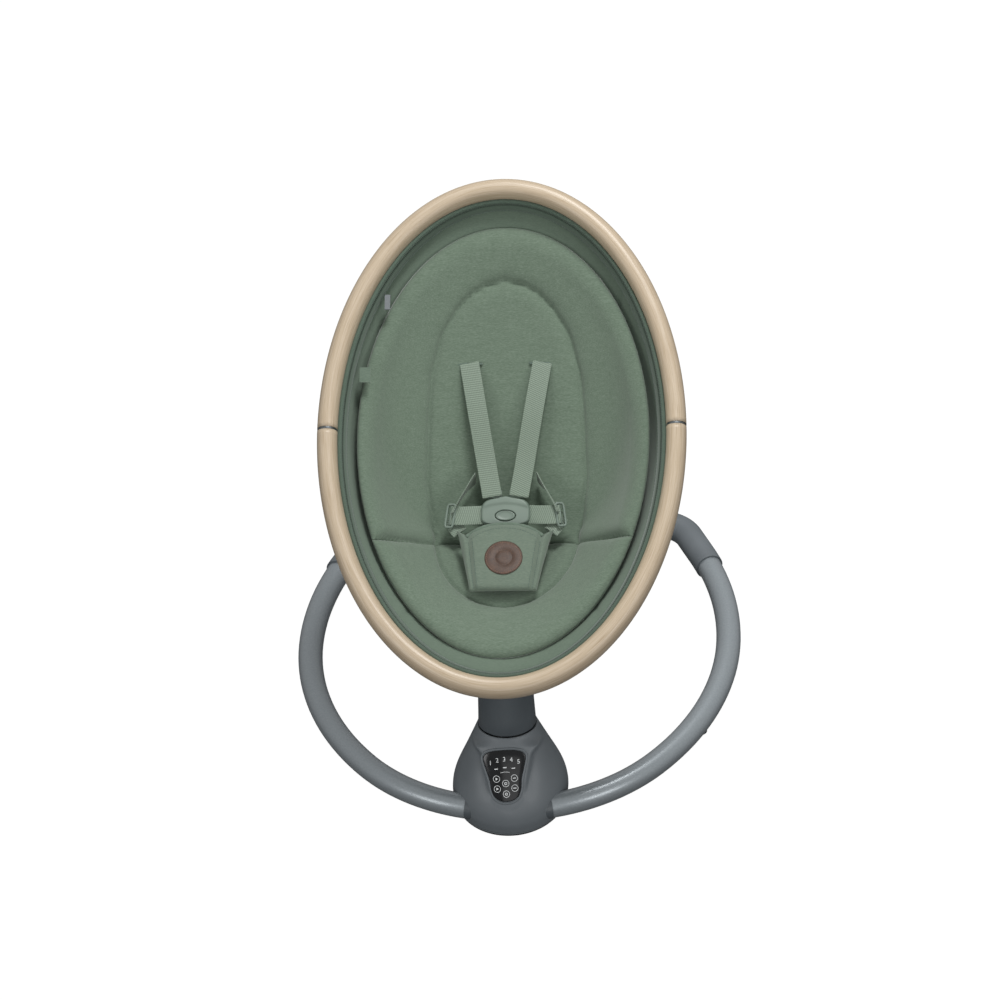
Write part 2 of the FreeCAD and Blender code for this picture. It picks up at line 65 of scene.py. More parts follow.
# ---------------------------------------------------------------- sizes (millimetres, degrees)
RIM_TILT = math.radians(32.6)
RIM_LONG = 332.0
RIM_WIDE = 222.0
RIM_HALF_WIDTH = 13.0
RIM_HALF_DEPTH = 17.5
COLLAR_RISE = 9.8
BOWL_LONG = 316.0
BOWL_WIDE = 207.0
BOWL_EDGE = 12.0
BOWL_DEPTH = 125.0
FOOT_RUN = 194.0
HEAD_RUN = 384.0
HIP_WIDTH = 75.0
HIP_LINE = -106.0
WEBBING = 25.0


# ---------------------------------------------------------------- small helpers
def linear(code):
    """An sRGB hex colour as the linear RGBA that the shaders take."""
    parts = [int(code[i:i + 2], 16) / 255 for i in (1, 3, 5)]
    return tuple(c / 12.92 if c <= 0.04045 else ((c + 0.055) / 1.055) ** 2.4 for c in parts) + (1.0,)


def seat(x, u, w):
    """A rim-frame point (mm: across, towards the head, out of the rim's plane) in the row frame."""
    along = Vector((0, math.cos(RIM_TILT), math.sin(RIM_TILT)))
    out = Vector((0, -math.sin(RIM_TILT), math.cos(RIM_TILT)))
    return RIM_CENTRE + Vector((x * MM, 0, 0)) + along * (u * MM) + out * (w * MM)


def piece(name, verts, faces, material, uvs=None, smooth=True):
    """A new mesh object at the origin; uvs is one pair per vertex."""
    mesh = bpy.data.meshes.new(name)
    mesh.from_pydata([tuple(v) for v in verts], [], faces)
    if uvs is not None:
        layer = mesh.uv_layers.new(name="UVMap")
        for loop in mesh.loops:
            layer.data[loop.index].uv = uvs[loop.vertex_index]
    obj = bpy.data.objects.new(name, mesh)
    bpy.context.scene.collection.objects.link(obj)
    mesh.materials.append(material)
    for polygon in mesh.polygons:
        polygon.use_smooth = smooth
    return obj


def outward(obj):
    """Turns a closed piece's faces outwards."""
    work = bmesh.new()
    work.from_mesh(obj.data)
    bmesh.ops.recalc_face_normals(work, faces=work.faces)
    work.to_mesh(obj.data)
    work.free()
    return obj


def strip_faces(rows, cols, wrap_rows=False, wrap_cols=False):
    """Quads of a grid of vertices stored row by row."""
    faces = []
    for r in range(rows if wrap_rows else rows - 1):
        for c in range(cols if wrap_cols else cols - 1):
            r2, c2 = (r + 1) % rows, (c + 1) % cols
            faces.append((r * cols + c, r * cols + c2, r2 * cols + c2, r2 * cols + c))
    return faces


def sweep(name, path, normals, section, material, closed=False, woven=False):
    """A bar along a path. section is a list of (across, out) in mm; across lies square to path and normal.

    The second UV runs round the section, or across it on woven bars."""
    count, sides = len(path), len(section)
    verts, uvs = [], []
    travelled = 0.0
    for i, spot in enumerate(path):
        if closed:
            ahead, behind = path[(i + 1) % count], path[i - 1]
        else:
            ahead, behind = path[min(i + 1, count - 1)], path[max(i - 1, 0)]
        tangent = (ahead - behind).normalized()
        across = tangent.cross(normals[i]).normalized()
        if i:
            travelled += (spot - path[i - 1]).length
        for k, (a, b) in enumerate(section):
            verts.append(spot + across * (a * MM) + normals[i] * (b * MM))
            uvs.append((travelled, a / WEBBING + 0.5 if woven else k / sides))
    faces = strip_faces(count, sides, wrap_rows=closed, wrap_cols=True)
    if not closed:
        faces.append(tuple(range(sides))[::-1])
        faces.append(tuple(range((count - 1) * sides, count * sides)))
    return outward(piece(name, verts, faces, material, uvs))


def oval_section(half_width, half_depth, sides=32, power=2.0):
    """A rounded section, from an ellipse at power 2 towards a rounded box above it."""
    points = []
    for k in range(sides):
        turn = 2 * math.pi * k / sides
        c, s = math.cos(turn), math.sin(turn)
        points.append((half_width * math.copysign(abs(c) ** (2 / power), c),
                       half_depth * math.copysign(abs(s) ** (2 / power), s)))
    return points


# ---------------------------------------------------------------- materials
def add(tree, kind, inputs=None, **settings):
    """Adds a shader node; inputs are numbers, colours or the sockets that feed them."""
    made = tree.nodes.new(kind)
    for key, value in settings.items():
        setattr(made, key, value)
    for key, value in (inputs or {}).items():
        if isinstance(value, bpy.types.NodeSocket):
            tree.links.new(value, made.inputs[key])
        else:
            made.inputs[key].default_value = value
    return made


def start_material(name):
    """A material with its surface shader."""
    material = bpy.data.materials.new(name)
    material.use_nodes = True
    return material, material.node_tree, material.node_tree.nodes["Principled BSDF"]


def ramp(tree, source, stops, interpolation="LINEAR"):
    """Colours along a value; stops are (position, hex colour)."""
    made = add(tree, "ShaderNodeValToRGB", {"Fac": source})
    made.color_ramp.interpolation = interpolation
    while len(made.color_ramp.elements) < len(stops):
        made.color_ramp.elements.new(0.5)
    for element, (position, code) in zip(made.color_ramp.elements, stops):
        element.position = position
        element.color = linear(code)
    return made.outputs["Color"]


def bump(tree, shader, height, strength, distance):
    made = add(tree, "ShaderNodeBump", {"Height": height, "Strength": strength, "Distance": distance * MM})
    tree.links.new(made.outputs["Normal"], shader.inputs["Normal"])


def moulded(name, low, high, roughness, grain_mm=0.9, depth=0.05):
    """Moulded ABS: an even colour, very fine spark-eroded grain and a soft broad highlight."""
    material, tree, shader = start_material(name)
    coords = add(tree, "ShaderNodeTexCoord")
    grain = add(tree, "ShaderNodeTexNoise", {"Vector": coords.outputs["Object"], "Scale": 1000 / grain_mm,
                                             "Detail": 3.0, "Roughness": 0.6})
    cloud = add(tree, "ShaderNodeTexNoise",
                {"Vector": coords.outputs["Object"], "Scale": 14.0, "Detail": 2.0})
    tree.links.new(ramp(tree, cloud.outputs["Fac"], [(0.35, low), (0.65, high)]),
                   shader.inputs["Base Color"])
    rough = add(tree, "ShaderNodeMapRange", {"Value": grain.outputs["Fac"], "To Min": roughness - 0.05,
                                             "To Max": roughness + 0.07})
    tree.links.new(rough.outputs["Result"], shader.inputs["Roughness"])
    bump(tree, shader, grain.outputs["Fac"], 0.35, depth)
    return material


def ash_veneer():
    """Pale ash finish on the rim: straight grain along the bar under a satin lacquer."""
    material, tree, shader = start_material("ash_veneer")
    coords = add(tree, "ShaderNodeTexCoord")
    stretched = add(tree, "ShaderNodeMapping", {"Vector": coords.outputs["UV"], "Scale": (9.0, 46.0, 1.0)})
    grain = add(tree, "ShaderNodeTexNoise",
                {"Vector": stretched.outputs["Vector"], "Scale": 1.6, "Detail": 7.0,
                                             "Roughness": 0.62, "Distortion": 0.35})
    fibre_space = add(tree, "ShaderNodeMapping",
                      {"Vector": coords.outputs["UV"], "Scale": (30.0, 260.0, 1.0)})
    fibre = add(tree, "ShaderNodeTexNoise",
                {"Vector": fibre_space.outputs["Vector"], "Scale": 1.0, "Detail": 3.0})
    both = add(tree, "ShaderNodeMath", {0: grain.outputs["Fac"], 1: fibre.outputs["Fac"]}, operation="ADD")
    half = add(tree, "ShaderNodeMath", {0: both.outputs["Value"], 1: 0.5}, operation="MULTIPLY")
    colour = ramp(tree, half.outputs["Value"], [(0.36, "#97856c"), (0.48, "#ad9c84"), (0.6, "#b8a994")])
    tree.links.new(colour, shader.inputs["Base Color"])
    shader.inputs["Roughness"].default_value = 0.42
    shader.inputs["Coat Weight"].default_value = 0.15
    shader.inputs["Coat Roughness"].default_value = 0.3
    bump(tree, shader, half.outputs["Value"], 0.25, 0.12)
    return material


def melange(name, dark, middle, light, slub=1.0):
    """Brushed melange jersey: pale and dark yarns twisted together show as short crosswise flecks."""
    material, tree, shader = start_material(name)
    coords = add(tree, "ShaderNodeTexCoord")
    flecks = add(tree, "ShaderNodeMapping",
                 {"Vector": coords.outputs["Object"], "Scale": (0.22, 1.0, 1.0)})
    yarn = add(tree, "ShaderNodeTexNoise",
               {"Vector": flecks.outputs["Vector"], "Scale": 1100.0, "Detail": 3.0,
                                            "Roughness": 0.6})
    patches = add(tree, "ShaderNodeTexNoise",
                  {"Vector": flecks.outputs["Vector"], "Scale": 240.0, "Detail": 3.0,
                                               "Roughness": 0.6})
    mixed = add(tree, "ShaderNodeMix",
                {"Factor": 0.25, "A": yarn.outputs["Fac"], "B": patches.outputs["Fac"]})
    colour = ramp(tree, mixed.outputs["Result"], [(0.25, dark), (0.5, middle), (0.75, light)])
    tree.links.new(colour, shader.inputs["Base Color"])
    shader.inputs["Roughness"].default_value = 0.92
    shader.inputs["Sheen Weight"].default_value = 0.25
    shader.inputs["Sheen Roughness"].default_value = 0.5
    shader.inputs["Specular IOR Level"].default_value = 0.2
    knit = add(tree, "ShaderNodeTexNoise",
               {"Vector": coords.outputs["Object"], "Scale": 900.0, "Detail": 2.0})
    bump(tree, shader, knit.outputs["Fac"], 0.5 * slub, 0.35)
    return material


def ribbed_webbing():
    """Woven polyester webbing: lengthwise ribs, flat bound edges and a slight gloss."""
    material, tree, shader = start_material("ribbed_webbing")
    coords = add(tree, "ShaderNodeTexCoord")
    split = add(tree, "ShaderNodeSeparateXYZ", {"Vector": coords.outputs["UV"]})
    weft = add(tree, "ShaderNodeMath", {0: split.outputs["X"], 1: 2 * math.pi / (2.6 * MM)},
               operation="MULTIPLY")
    slant = add(tree, "ShaderNodeMath",
                {0: split.outputs["Y"], 1: 2 * math.pi * 3, 2: weft.outputs["Value"]},
                operation="MULTIPLY_ADD")
    wave = add(tree, "ShaderNodeMath", {0: slant.outputs["Value"]}, operation="SINE")
    rib = add(tree, "ShaderNodeMath", {0: split.outputs["Y"], 1: 2 * math.pi * 12}, operation="MULTIPLY")
    cross = add(tree, "ShaderNodeMath", {0: rib.outputs["Value"]}, operation="SINE")
    woven = add(tree, "ShaderNodeMath", {0: cross.outputs["Value"], 1: 0.3, 2: wave.outputs["Value"]},
                operation="MULTIPLY_ADD")
    scaled = add(tree, "ShaderNodeMapRange",
                 {"Value": woven.outputs["Value"], "From Min": -1.4, "From Max": 1.4})
    colour = ramp(tree, scaled.outputs["Result"], [(0.1, "#566557"), (0.5, "#6b7a6b"), (0.9, "#7a8879")])
    tree.links.new(colour, shader.inputs["Base Color"])
    shader.inputs["Roughness"].default_value = 0.62
    shader.inputs["Sheen Weight"].default_value = 0.2
    bump(tree, shader, scaled.outputs["Result"], 0.6, 0.4)
    return material


def painted_steel():
    """Powder-coated steel tube: fine orange peel and a crisp satin highlight."""
    material, tree, shader = start_material("powder_coated_steel")
    coords = add(tree, "ShaderNodeTexCoord")
    peel = add(tree, "ShaderNodeTexNoise",
               {"Vector": coords.outputs["Object"], "Scale": 420.0, "Detail": 2.0})
    colour = ramp(tree, peel.outputs["Fac"], [(0.3, "#868d91"), (0.7, "#8e9599")])
    tree.links.new(colour, shader.inputs["Base Color"])
    shader.inputs["Metallic"].default_value = 0.35
    shader.inputs["Roughness"].default_value = 0.34
    shader.inputs["Coat Weight"].default_value = 0.25
    shader.inputs["Coat Roughness"].default_value = 0.2
    bump(tree, shader, peel.outputs["Fac"], 0.15, 0.05)
    return material


def metal(name, colour, roughness):
    """Bare or plated metal with faint brushing."""
    material, tree, shader = start_material(name)
    coords = add(tree, "ShaderNodeTexCoord")
    lines = add(tree, "ShaderNodeMapping", {"Vector": coords.outputs["Object"], "Scale": (1.0, 8.0, 1.0)})
    brush = add(tree, "ShaderNodeTexNoise",
                {"Vector": lines.outputs["Vector"], "Scale": 300.0, "Detail": 3.0})
    shader.inputs["Base Color"].default_value = linear(colour)
    shader.inputs["Metallic"].default_value = 1.0
    rough = add(tree, "ShaderNodeMapRange", {"Value": brush.outputs["Fac"], "To Min": roughness - 0.08,
                                             "To Max": roughness + 0.08})
    tree.links.new(rough.outputs["Result"], shader.inputs["Roughness"])
    return material


def black_glass():
    """Gloss-black acrylic of the touch panel, with faint polishing haze."""
    material, tree, shader = start_material("gloss_black_acrylic")
    coords = add(tree, "ShaderNodeTexCoord")
    haze = add(tree, "ShaderNodeTexNoise",
               {"Vector": coords.outputs["Object"], "Scale": 90.0, "Detail": 4.0})
    rough = add(tree, "ShaderNodeMapRange", {"Value": haze.outputs["Fac"], "To Min": 0.1, "To Max": 0.22})
    tree.links.new(rough.outputs["Result"], shader.inputs["Roughness"])
    tree.links.new(ramp(tree, haze.outputs["Fac"], [(0.3, "#0b0c0e"), (0.7, "#15171a")]),
                   shader.inputs["Base Color"])
    shader.inputs["Specular IOR Level"].default_value = 0.3
    return material


def pigmented(name, colour, roughness, scale=500.0):
    """An even pigmented surface, such as ink, rubber or thread, with a little tooth."""
    material, tree, shader = start_material(name)
    coords = add(tree, "ShaderNodeTexCoord")
    tooth = add(tree, "ShaderNodeTexNoise",
                {"Vector": coords.outputs["Object"], "Scale": scale, "Detail": 3.0})
    shader.inputs["Base Color"].default_value = linear(colour)
    shader.inputs["Roughness"].default_value = roughness
    bump(tree, shader, tooth.outputs["Fac"], 0.3, 0.1)
    return material


def saddle_leather():
    """Brown split leather: fine pebbled grain, darker in the creases."""
    material, tree, shader = start_material("saddle_leather")
    coords = add(tree, "ShaderNodeTexCoord")
    cells = add(tree, "ShaderNodeTexVoronoi", {"Vector": coords.outputs["Object"], "Scale": 700.0})
    cloud = add(tree, "ShaderNodeTexNoise",
                {"Vector": coords.outputs["Object"], "Scale": 120.0, "Detail": 5.0})
    mixed = add(tree, "ShaderNodeMix",
                {"Factor": 0.6, "A": cells.outputs["Distance"], "B": cloud.outputs["Fac"]})
    colour = ramp(tree, mixed.outputs["Result"], [(0.25, "#2f2015"), (0.5, "#40291a"), (0.7, "#4c3423")])
    tree.links.new(colour, shader.inputs["Base Color"])
    shader.inputs["Roughness"].default_value = 0.55
    bump(tree, shader, cells.outputs["Distance"], 0.4, 0.25)
    return material


GREY_ABS = moulded("moulded_grey_abs", "#5b6165", "#63696d", 0.46)
NECK_ABS = moulded("neck_grey_abs", "#454b4f", "#4c5256", 0.34)
GREEN_ABS = moulded("moulded_green_nylon", "#66746a", "#6d7b70", 0.45)
DARK_GAP = pigmented("black_rubber", "#151617", 0.8)
ASH = ash_veneer()
INLAY = melange("melange_jersey", "#506050", "#617061", "#718071")
SHELL = melange("woven_seat_fabric", "#566558", "#5f6e60", "#687769", 0.6)
BAND = melange("band_fabric", "#47564a", "#4f5e52", "#58675a", 0.6)
WEB = ribbed_webbing()
STEEL_PAINT = painted_steel()
COLLAR = metal("brushed_aluminium", "#6d7173", 0.4)
STEEL = metal("bright_steel", "#a9abac", 0.3)
COPPER = metal("copper_winding", "#b8743f", 0.35)
GLASS = black_glass()
INK = pigmented("pad_printed_ink", "#dfe3e3", 0.6)
THREAD = pigmented("polyester_thread", "#52625a", 0.8)
LEATHER = saddle_leather()
BINDING = melange("binding_jersey", "#4f5f52", "#5c6b5e", "#68776a", 0.6)
COVER = melange("cover_fabric", "#56655a", "#626f62", "#6e7c6e", 0.6)
LEATHER_THREAD = pigmented("waxed_thread", "#6b4a35", 0.6)
COIL = pigmented("zip_coil_nylon", "#3b463e", 0.5)
BOARD = pigmented("solder_mask", "#1f4a2c", 0.4)

CAD_FINISH = {
    "base_tube_left": STEEL_PAINT, "base_tube_right": STEEL_PAINT, "rear_cross_tube": STEEL_PAINT,
    "cradle_arm_left": STEEL_PAINT, "cradle_arm_right": STEEL_PAINT,
    "hub_foot_ring": DARK_GAP, "elbow_foot_left": DARK_GAP, "elbow_foot_right": DARK_GAP,
    "tube_foot_left": DARK_GAP, "tube_foot_right": DARK_GAP,
    "control_panel": GLASS, "speaker": DARK_GAP, "power_socket": DARK_GAP, "control_board": BOARD,
    "drive_coil": COPPER, "lower_bearing": STEEL, "upper_bearing": STEEL, "hub_screws": STEEL,
    "swing_shaft": STEEL, "drive_magnet": STEEL, "hinge_pin": STEEL, "saddle_screws": STEEL,
    "rim_collar_left": COLLAR, "rim_collar_right": COLLAR, "zip_pull": COLLAR,
    "rim_lower": ASH, "rim_upper": ASH, "seat_shell": SHELL, "zip_band": BAND,
    "inlay_seat_pad": INLAY, "inlay_back_pad": INLAY, "crotch_cover": INLAY, "leather_patch": LEATHER,
    "shoulder_strap_left": WEB, "shoulder_strap_right": WEB, "waist_strap_left": WEB,
    "waist_strap_right": WEB, "crotch_strap": WEB, "side_label": BINDING,
    "buckle_body": GREEN_ABS, "buckle_button": GREEN_ABS, "buckle_tongues": GREEN_ABS,
    "strap_adjuster_left": GREEN_ABS, "strap_adjuster_right": GREEN_ABS,
}
for node_name, node in frame["nodes"].items():
    node.data.materials.clear()
    node.data.materials.append(CAD_FINISH.get(node_name, GREY_ABS))


# ---------------------------------------------------------------- camera, floor and light
def make_camera():
    """A long lens from 40 degrees above the front, turned a little to the right and rolled."""
    azimuth, elevation, roll = math.radians(5.17), math.radians(40.0), math.radians(4.15)
    distance, aim = 8.0, HUB_CENTRE + Vector((0, 0.15, 0.3))
    frame_width = 1.27
    right = Vector((math.cos(azimuth), math.sin(azimuth), 0))
    back = Vector((math.sin(azimuth) * math.cos(elevation), -math.cos(azimuth) * math.cos(elevation),
                   math.sin(elevation)))
    above = back.cross(right)
    across = right * math.cos(roll) - above * math.sin(roll)
    upward = right * math.sin(roll) + above * math.cos(roll)
    data = bpy.data.cameras.new("camera")
    data.sensor_width = 36
    data.lens = 36 * distance / frame_width
    data.clip_end = 60
    camera = bpy.data.objects.new("camera", data)
    spot = aim + back * distance - across * 0.0046 + upward * 0.052
    camera.matrix_world = Matrix((
        (across.x, upward.x, back.x, spot.x),
        (across.y, upward.y, back.y, spot.y),
        (across.z, upward.z, back.z, spot.z),
        (0, 0, 0, 1)))
    bpy.context.scene.collection.objects.link(camera)
    bpy.context.scene.camera = camera


def make_floor():
    """A white backdrop plane that only the camera sees, so that the ground stays clear of shadow."""
    material, _, shader = start_material("white_backdrop")
    shader.inputs["Base Color"].default_value = (0, 0, 0, 1)
    shader.inputs["Emission Color"].default_value = (1, 1, 1, 1)
    shader.inputs["Emission Strength"].default_value = 1.0
    reach = 12.0
    corners = [(-reach, -reach, -0.003), (reach, -reach, -0.003), (reach, reach, -0.003),
               (-reach, reach, -0.003)]
    floor = piece("floor", corners, [(0, 1, 2, 3)], material)
    for ray in ("diffuse", "glossy", "transmission", "shadow"):
        setattr(floor, "visible_" + ray, False)


def make_lamp(name, spot, aim, width, power):
    """A soft square lamp turned towards a point."""
    data = bpy.data.lights.new(name, "AREA")
    data.size = width
    data.energy = power
    lamp = bpy.data.objects.new(name, data)
    lamp.location = spot
    lamp.rotation_euler = (Vector(aim) - Vector(spot)).to_track_quat("-Z", "Y").to_euler()
    bpy.context.scene.collection.objects.link(lamp)


def make_light():
    """A white studio tent, dimmer from below, with three soft lamps."""
    world = bpy.data.worlds.new("studio")
    world.use_nodes = True
    tree = world.node_tree
    background = tree.nodes["Background"]
    coords = add(tree, "ShaderNodeTexCoord")
    split = add(tree, "ShaderNodeSeparateXYZ", {"Vector": coords.outputs["Generated"]})
    share = add(tree, "ShaderNodeMapRange",
                {"Value": split.outputs["Z"], "From Min": -1.0, "From Max": 1.0})
    tone = ramp(tree, share.outputs["Result"], [(0.3, "#5a5a5a"), (0.55, "#d9d9d9"), (0.8, "#ffffff")])
    tree.links.new(tone, background.inputs["Color"])
    background.inputs["Strength"].default_value = 0.6
    bpy.context.scene.world = world
    make_lamp("key", (0.5, 0.5, 3.2), (0, 0, 0.35), 0.9, 66)
    make_lamp("right", (1.9, -2.0, 1.3), (0, 0, 0.3), 0.9, 16)
    make_lamp("left", (-1.9, -2.0, 1.3), (0, 0, 0.3), 0.9, 14)
    make_lamp("front", (0.2, -3.0, 0.75), (0, 0.1, 0.4), 1.4, 9)
    bpy.context.scene.view_settings.view_transform = "Standard"


make_camera()
make_floor()
make_light()


# ---------------------------------------------------------------- oval rim
def rim_path(start, end, count, inset=0.0, level=0.0):
    """Points round the rim; angles in radians from the head end, towards the left."""
    path = []
    for i in range(count):
        turn = start + (end - start) * i / (count - 1)
        path.append(seat(-(RIM_WIDE - inset) * math.sin(turn), (RIM_LONG - inset) * math.cos(turn), level))
    return path


def make_rim():
    out = (seat(0, 0, 1) - seat(0, 0, 0)).normalized()
    join = math.acos(COLLAR_RISE / RIM_LONG)
    gap = 1.7 / RIM_LONG
    spans = {"rim_upper": (-join + gap, join - gap), "rim_lower": (join + gap, 2 * math.pi - join - gap)}
    for node_name, (start, end) in spans.items():
        path = rim_path(start, end, 200)
        section = oval_section(RIM_HALF_WIDTH, RIM_HALF_DEPTH, 40, 2.25)
        bar = sweep(node_name + "_bar", path, [out] * len(path), section, ASH)
        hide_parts(node_name)
        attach(bar, "seat")
    for side, turn in (("left", join), ("right", -join)):
        path = rim_path(turn - gap, turn + gap, 5)
        section = oval_section(RIM_HALF_WIDTH - 0.2, RIM_HALF_DEPTH - 0.2, 40, 2.25)
        ring = sweep(f"rim_collar_{side}_ring", path, [out] * len(path), section, COLLAR)
        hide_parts(f"rim_collar_{side}")
        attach(ring, "seat")


make_rim()

# ---------------------------------------------------------------- bowl of the seat
BOWL_WALL = 4.0
INLAY_MOUTH = 196.0
INLAY_START = 0.15
INLAY_FOOT_START = 0.10
SHELL_SEAMS = (49, -49, 143, -143)
OUT = (seat(0, 0, 1) - seat(0, 0, 0)).normalized()


def bowl_ring(share, mouth, inset):
    """Foot end, head end, half-width and level of the bowl at a share of its depth."""
    foot = -BOWL_LONG + FOOT_RUN * share ** 0.9 + inset
    head = BOWL_LONG - HEAD_RUN * share ** 1.53 - inset
    half = HIP_WIDTH + (mouth - HIP_WIDTH) * math.sqrt(max(0.0, 1 - share ** 1.3)) - inset
    return foot, head, half, -BOWL_EDGE - (BOWL_DEPTH - BOWL_EDGE - inset) * share


def bowl_grid(mouth, inset, shares, sides, floor_rings=0):
    """Rows of (x, u, w) down the bowl's wall, then inwards over its flat bottom, as one array."""
    turns = np.linspace(0, 2 * math.pi, sides, endpoint=False)
    rows = []
    for share in shares:
        foot, head, half, level = bowl_ring(share, mouth, inset)
        middle, reach = (foot + head) / 2, (head - foot) / 2
        rows.append(np.stack([half * np.sin(turns), middle + reach * np.cos(turns),
                              np.full(sides, level)], axis=1))
    for ring in range(1, floor_rings):
        scale = 1 - ring / floor_rings
        rows.append(np.stack([half * scale * np.sin(turns), middle + reach * scale * np.cos(turns),
                              np.full(sides, level)], axis=1))
    return np.array(rows)


def grid_normals(grid):
    """Unit normals of a grid whose columns wrap, pointing to the side of +w."""
    round_it = np.roll(grid, -1, axis=1) - np.roll(grid, 1, axis=1)
    down_it = np.gradient(grid, axis=0)
    normals = np.cross(round_it, down_it)
    normals /= np.linalg.norm(normals, axis=2, keepdims=True) + 1e-9
    flip = np.sign(normals[..., 2:3].mean())
    return normals * flip


def noise2(a, b, seed, waves=7):
    """A smooth field from -1 to 1 made of a few sine waves in seeded directions."""
    chance = np.random.default_rng(seed)
    total = np.zeros_like(a)
    for _ in range(waves):
        angle, pitch, phase = chance.uniform(0, 2 * math.pi), chance.uniform(0.6, 1.6), chance.uniform(0,
                                                                                                       6.3)
        total += np.sin((a * math.cos(angle) + b * math.sin(angle)) * pitch + phase)
    return total / waves * 1.6


def to_row(points):
    """An array of seat-frame points (mm) in the row frame."""
    flat = points.reshape(-1, 3) * MM
    across = np.array((1.0, 0, 0))
    along = np.array((0, math.cos(RIM_TILT), math.sin(RIM_TILT)))
    out = np.array((0, -math.sin(RIM_TILT), math.cos(RIM_TILT)))
    return (np.array(RIM_CENTRE) + flat[:, :1] * across + flat[:, 1:2] * along + flat[:, 2:3] * out)


def capped(rows, sides):
    """Vertices and faces of seat-frame rings in a stack, closed by a fan of triangles at each end."""
    verts = list(to_row(rows))
    faces = strip_faces(len(rows), sides, wrap_cols=True)
    for first, ring in ((0, rows[0]), (len(rows) - 1, rows[-1])):
        verts.append(to_row(ring.mean(axis=0))[0])
        faces += [(first * sides + c, first * sides + (c + 1) % sides,
                   len(verts) - 1) for c in range(sides)]
    return verts, faces


def closed_bowl(name, upper, lower, material):
    """A closed layer between two grids of rows, from their top rims to their bottom centres."""
    rows = np.concatenate([lower[::-1], upper])
    count, sides = rows.shape[:2]
    verts = list(to_row(rows))
    faces = strip_faces(count, sides, wrap_cols=True)
    for first, ring in ((0, rows[0]), (count - 1, rows[-1])):
        verts.append(to_row(ring.mean(axis=0))[0])
        hub = len(verts) - 1
        faces += [(first * sides + c, first * sides + (c + 1) % sides, hub) for c in range(sides)]
    return outward(piece(name, verts, faces, material))


def make_shell():
    """The woven seat shell: four sewn panels with a soft drape between rim and inlay."""
    shares = np.linspace(0, 1, 46) ** 1.15
    sides = 360
    outer = bowl_grid(BOWL_WIDE, 0.4, shares, sides, 7)
    inner = bowl_grid(BOWL_WIDE, 3.0, shares, sides, 7)
    turns = np.degrees(np.linspace(0, 2 * math.pi, sides, endpoint=False))
    seam = np.zeros(sides)
    for place in SHELL_SEAMS:
        away = np.abs((turns - place + 180) % 360 - 180)
        seam += np.exp(-(away / 0.9) ** 2) - 0.35 * np.exp(-((away - 2.6) / 1.4) ** 2)
    drape = noise2(inner[..., 0] / 34, inner[..., 1] / 34, 5) * 0.8
    near_edge = np.clip(np.arange(len(inner)) / 6, 0, 1)[:, None]
    normals = grid_normals(inner)
    inner = inner + normals * ((drape - 1.3 * seam[None, :]) * near_edge)[..., None]
    outer = outer + normals * ((0.5 * drape + 0.8 * seam[None, :]) * near_edge)[..., None]
    shell = closed_bowl("seat_shell_fabric", inner, outer, SHELL)
    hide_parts("seat_shell")
    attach(shell, "seat")


make_shell()


# ---------------------------------------------------------------- repeated small things
def capsule(name, length, radius, material):
    """A small rounded bar along X, the stamp for one stitch or zip tooth, in millimetres."""
    sides, rows = 8, [(-0.5, 0.0), (-0.42, 0.75), (-0.2, 1.0), (0.2, 1.0), (0.42, 0.75), (0.5, 0.0)]
    verts, faces = [(-length / 2 * MM, 0, 0)], []
    for along, swell in rows[1:-1]:
        for k in range(sides):
            turn = 2 * math.pi * k / sides
            verts.append((along * length * MM, math.cos(turn) * swell * radius * MM,
                          math.sin(turn) * swell * radius * MM))
    verts.append((length / 2 * MM, 0, 0))
    last = len(verts) - 1
    for k in range(sides):
        faces.append((0, 1 + (k + 1) % sides, 1 + k))
        faces.append((last, last - sides + k, last - sides + (k + 1) % sides))
    for r in range(len(rows) - 3):
        for k in range(sides):
            a, b = 1 + r * sides + k, 1 + r * sides + (k + 1) % sides
            faces.append((a, b, b + sides, a + sides))
    return outward(piece(name, verts, faces, material))


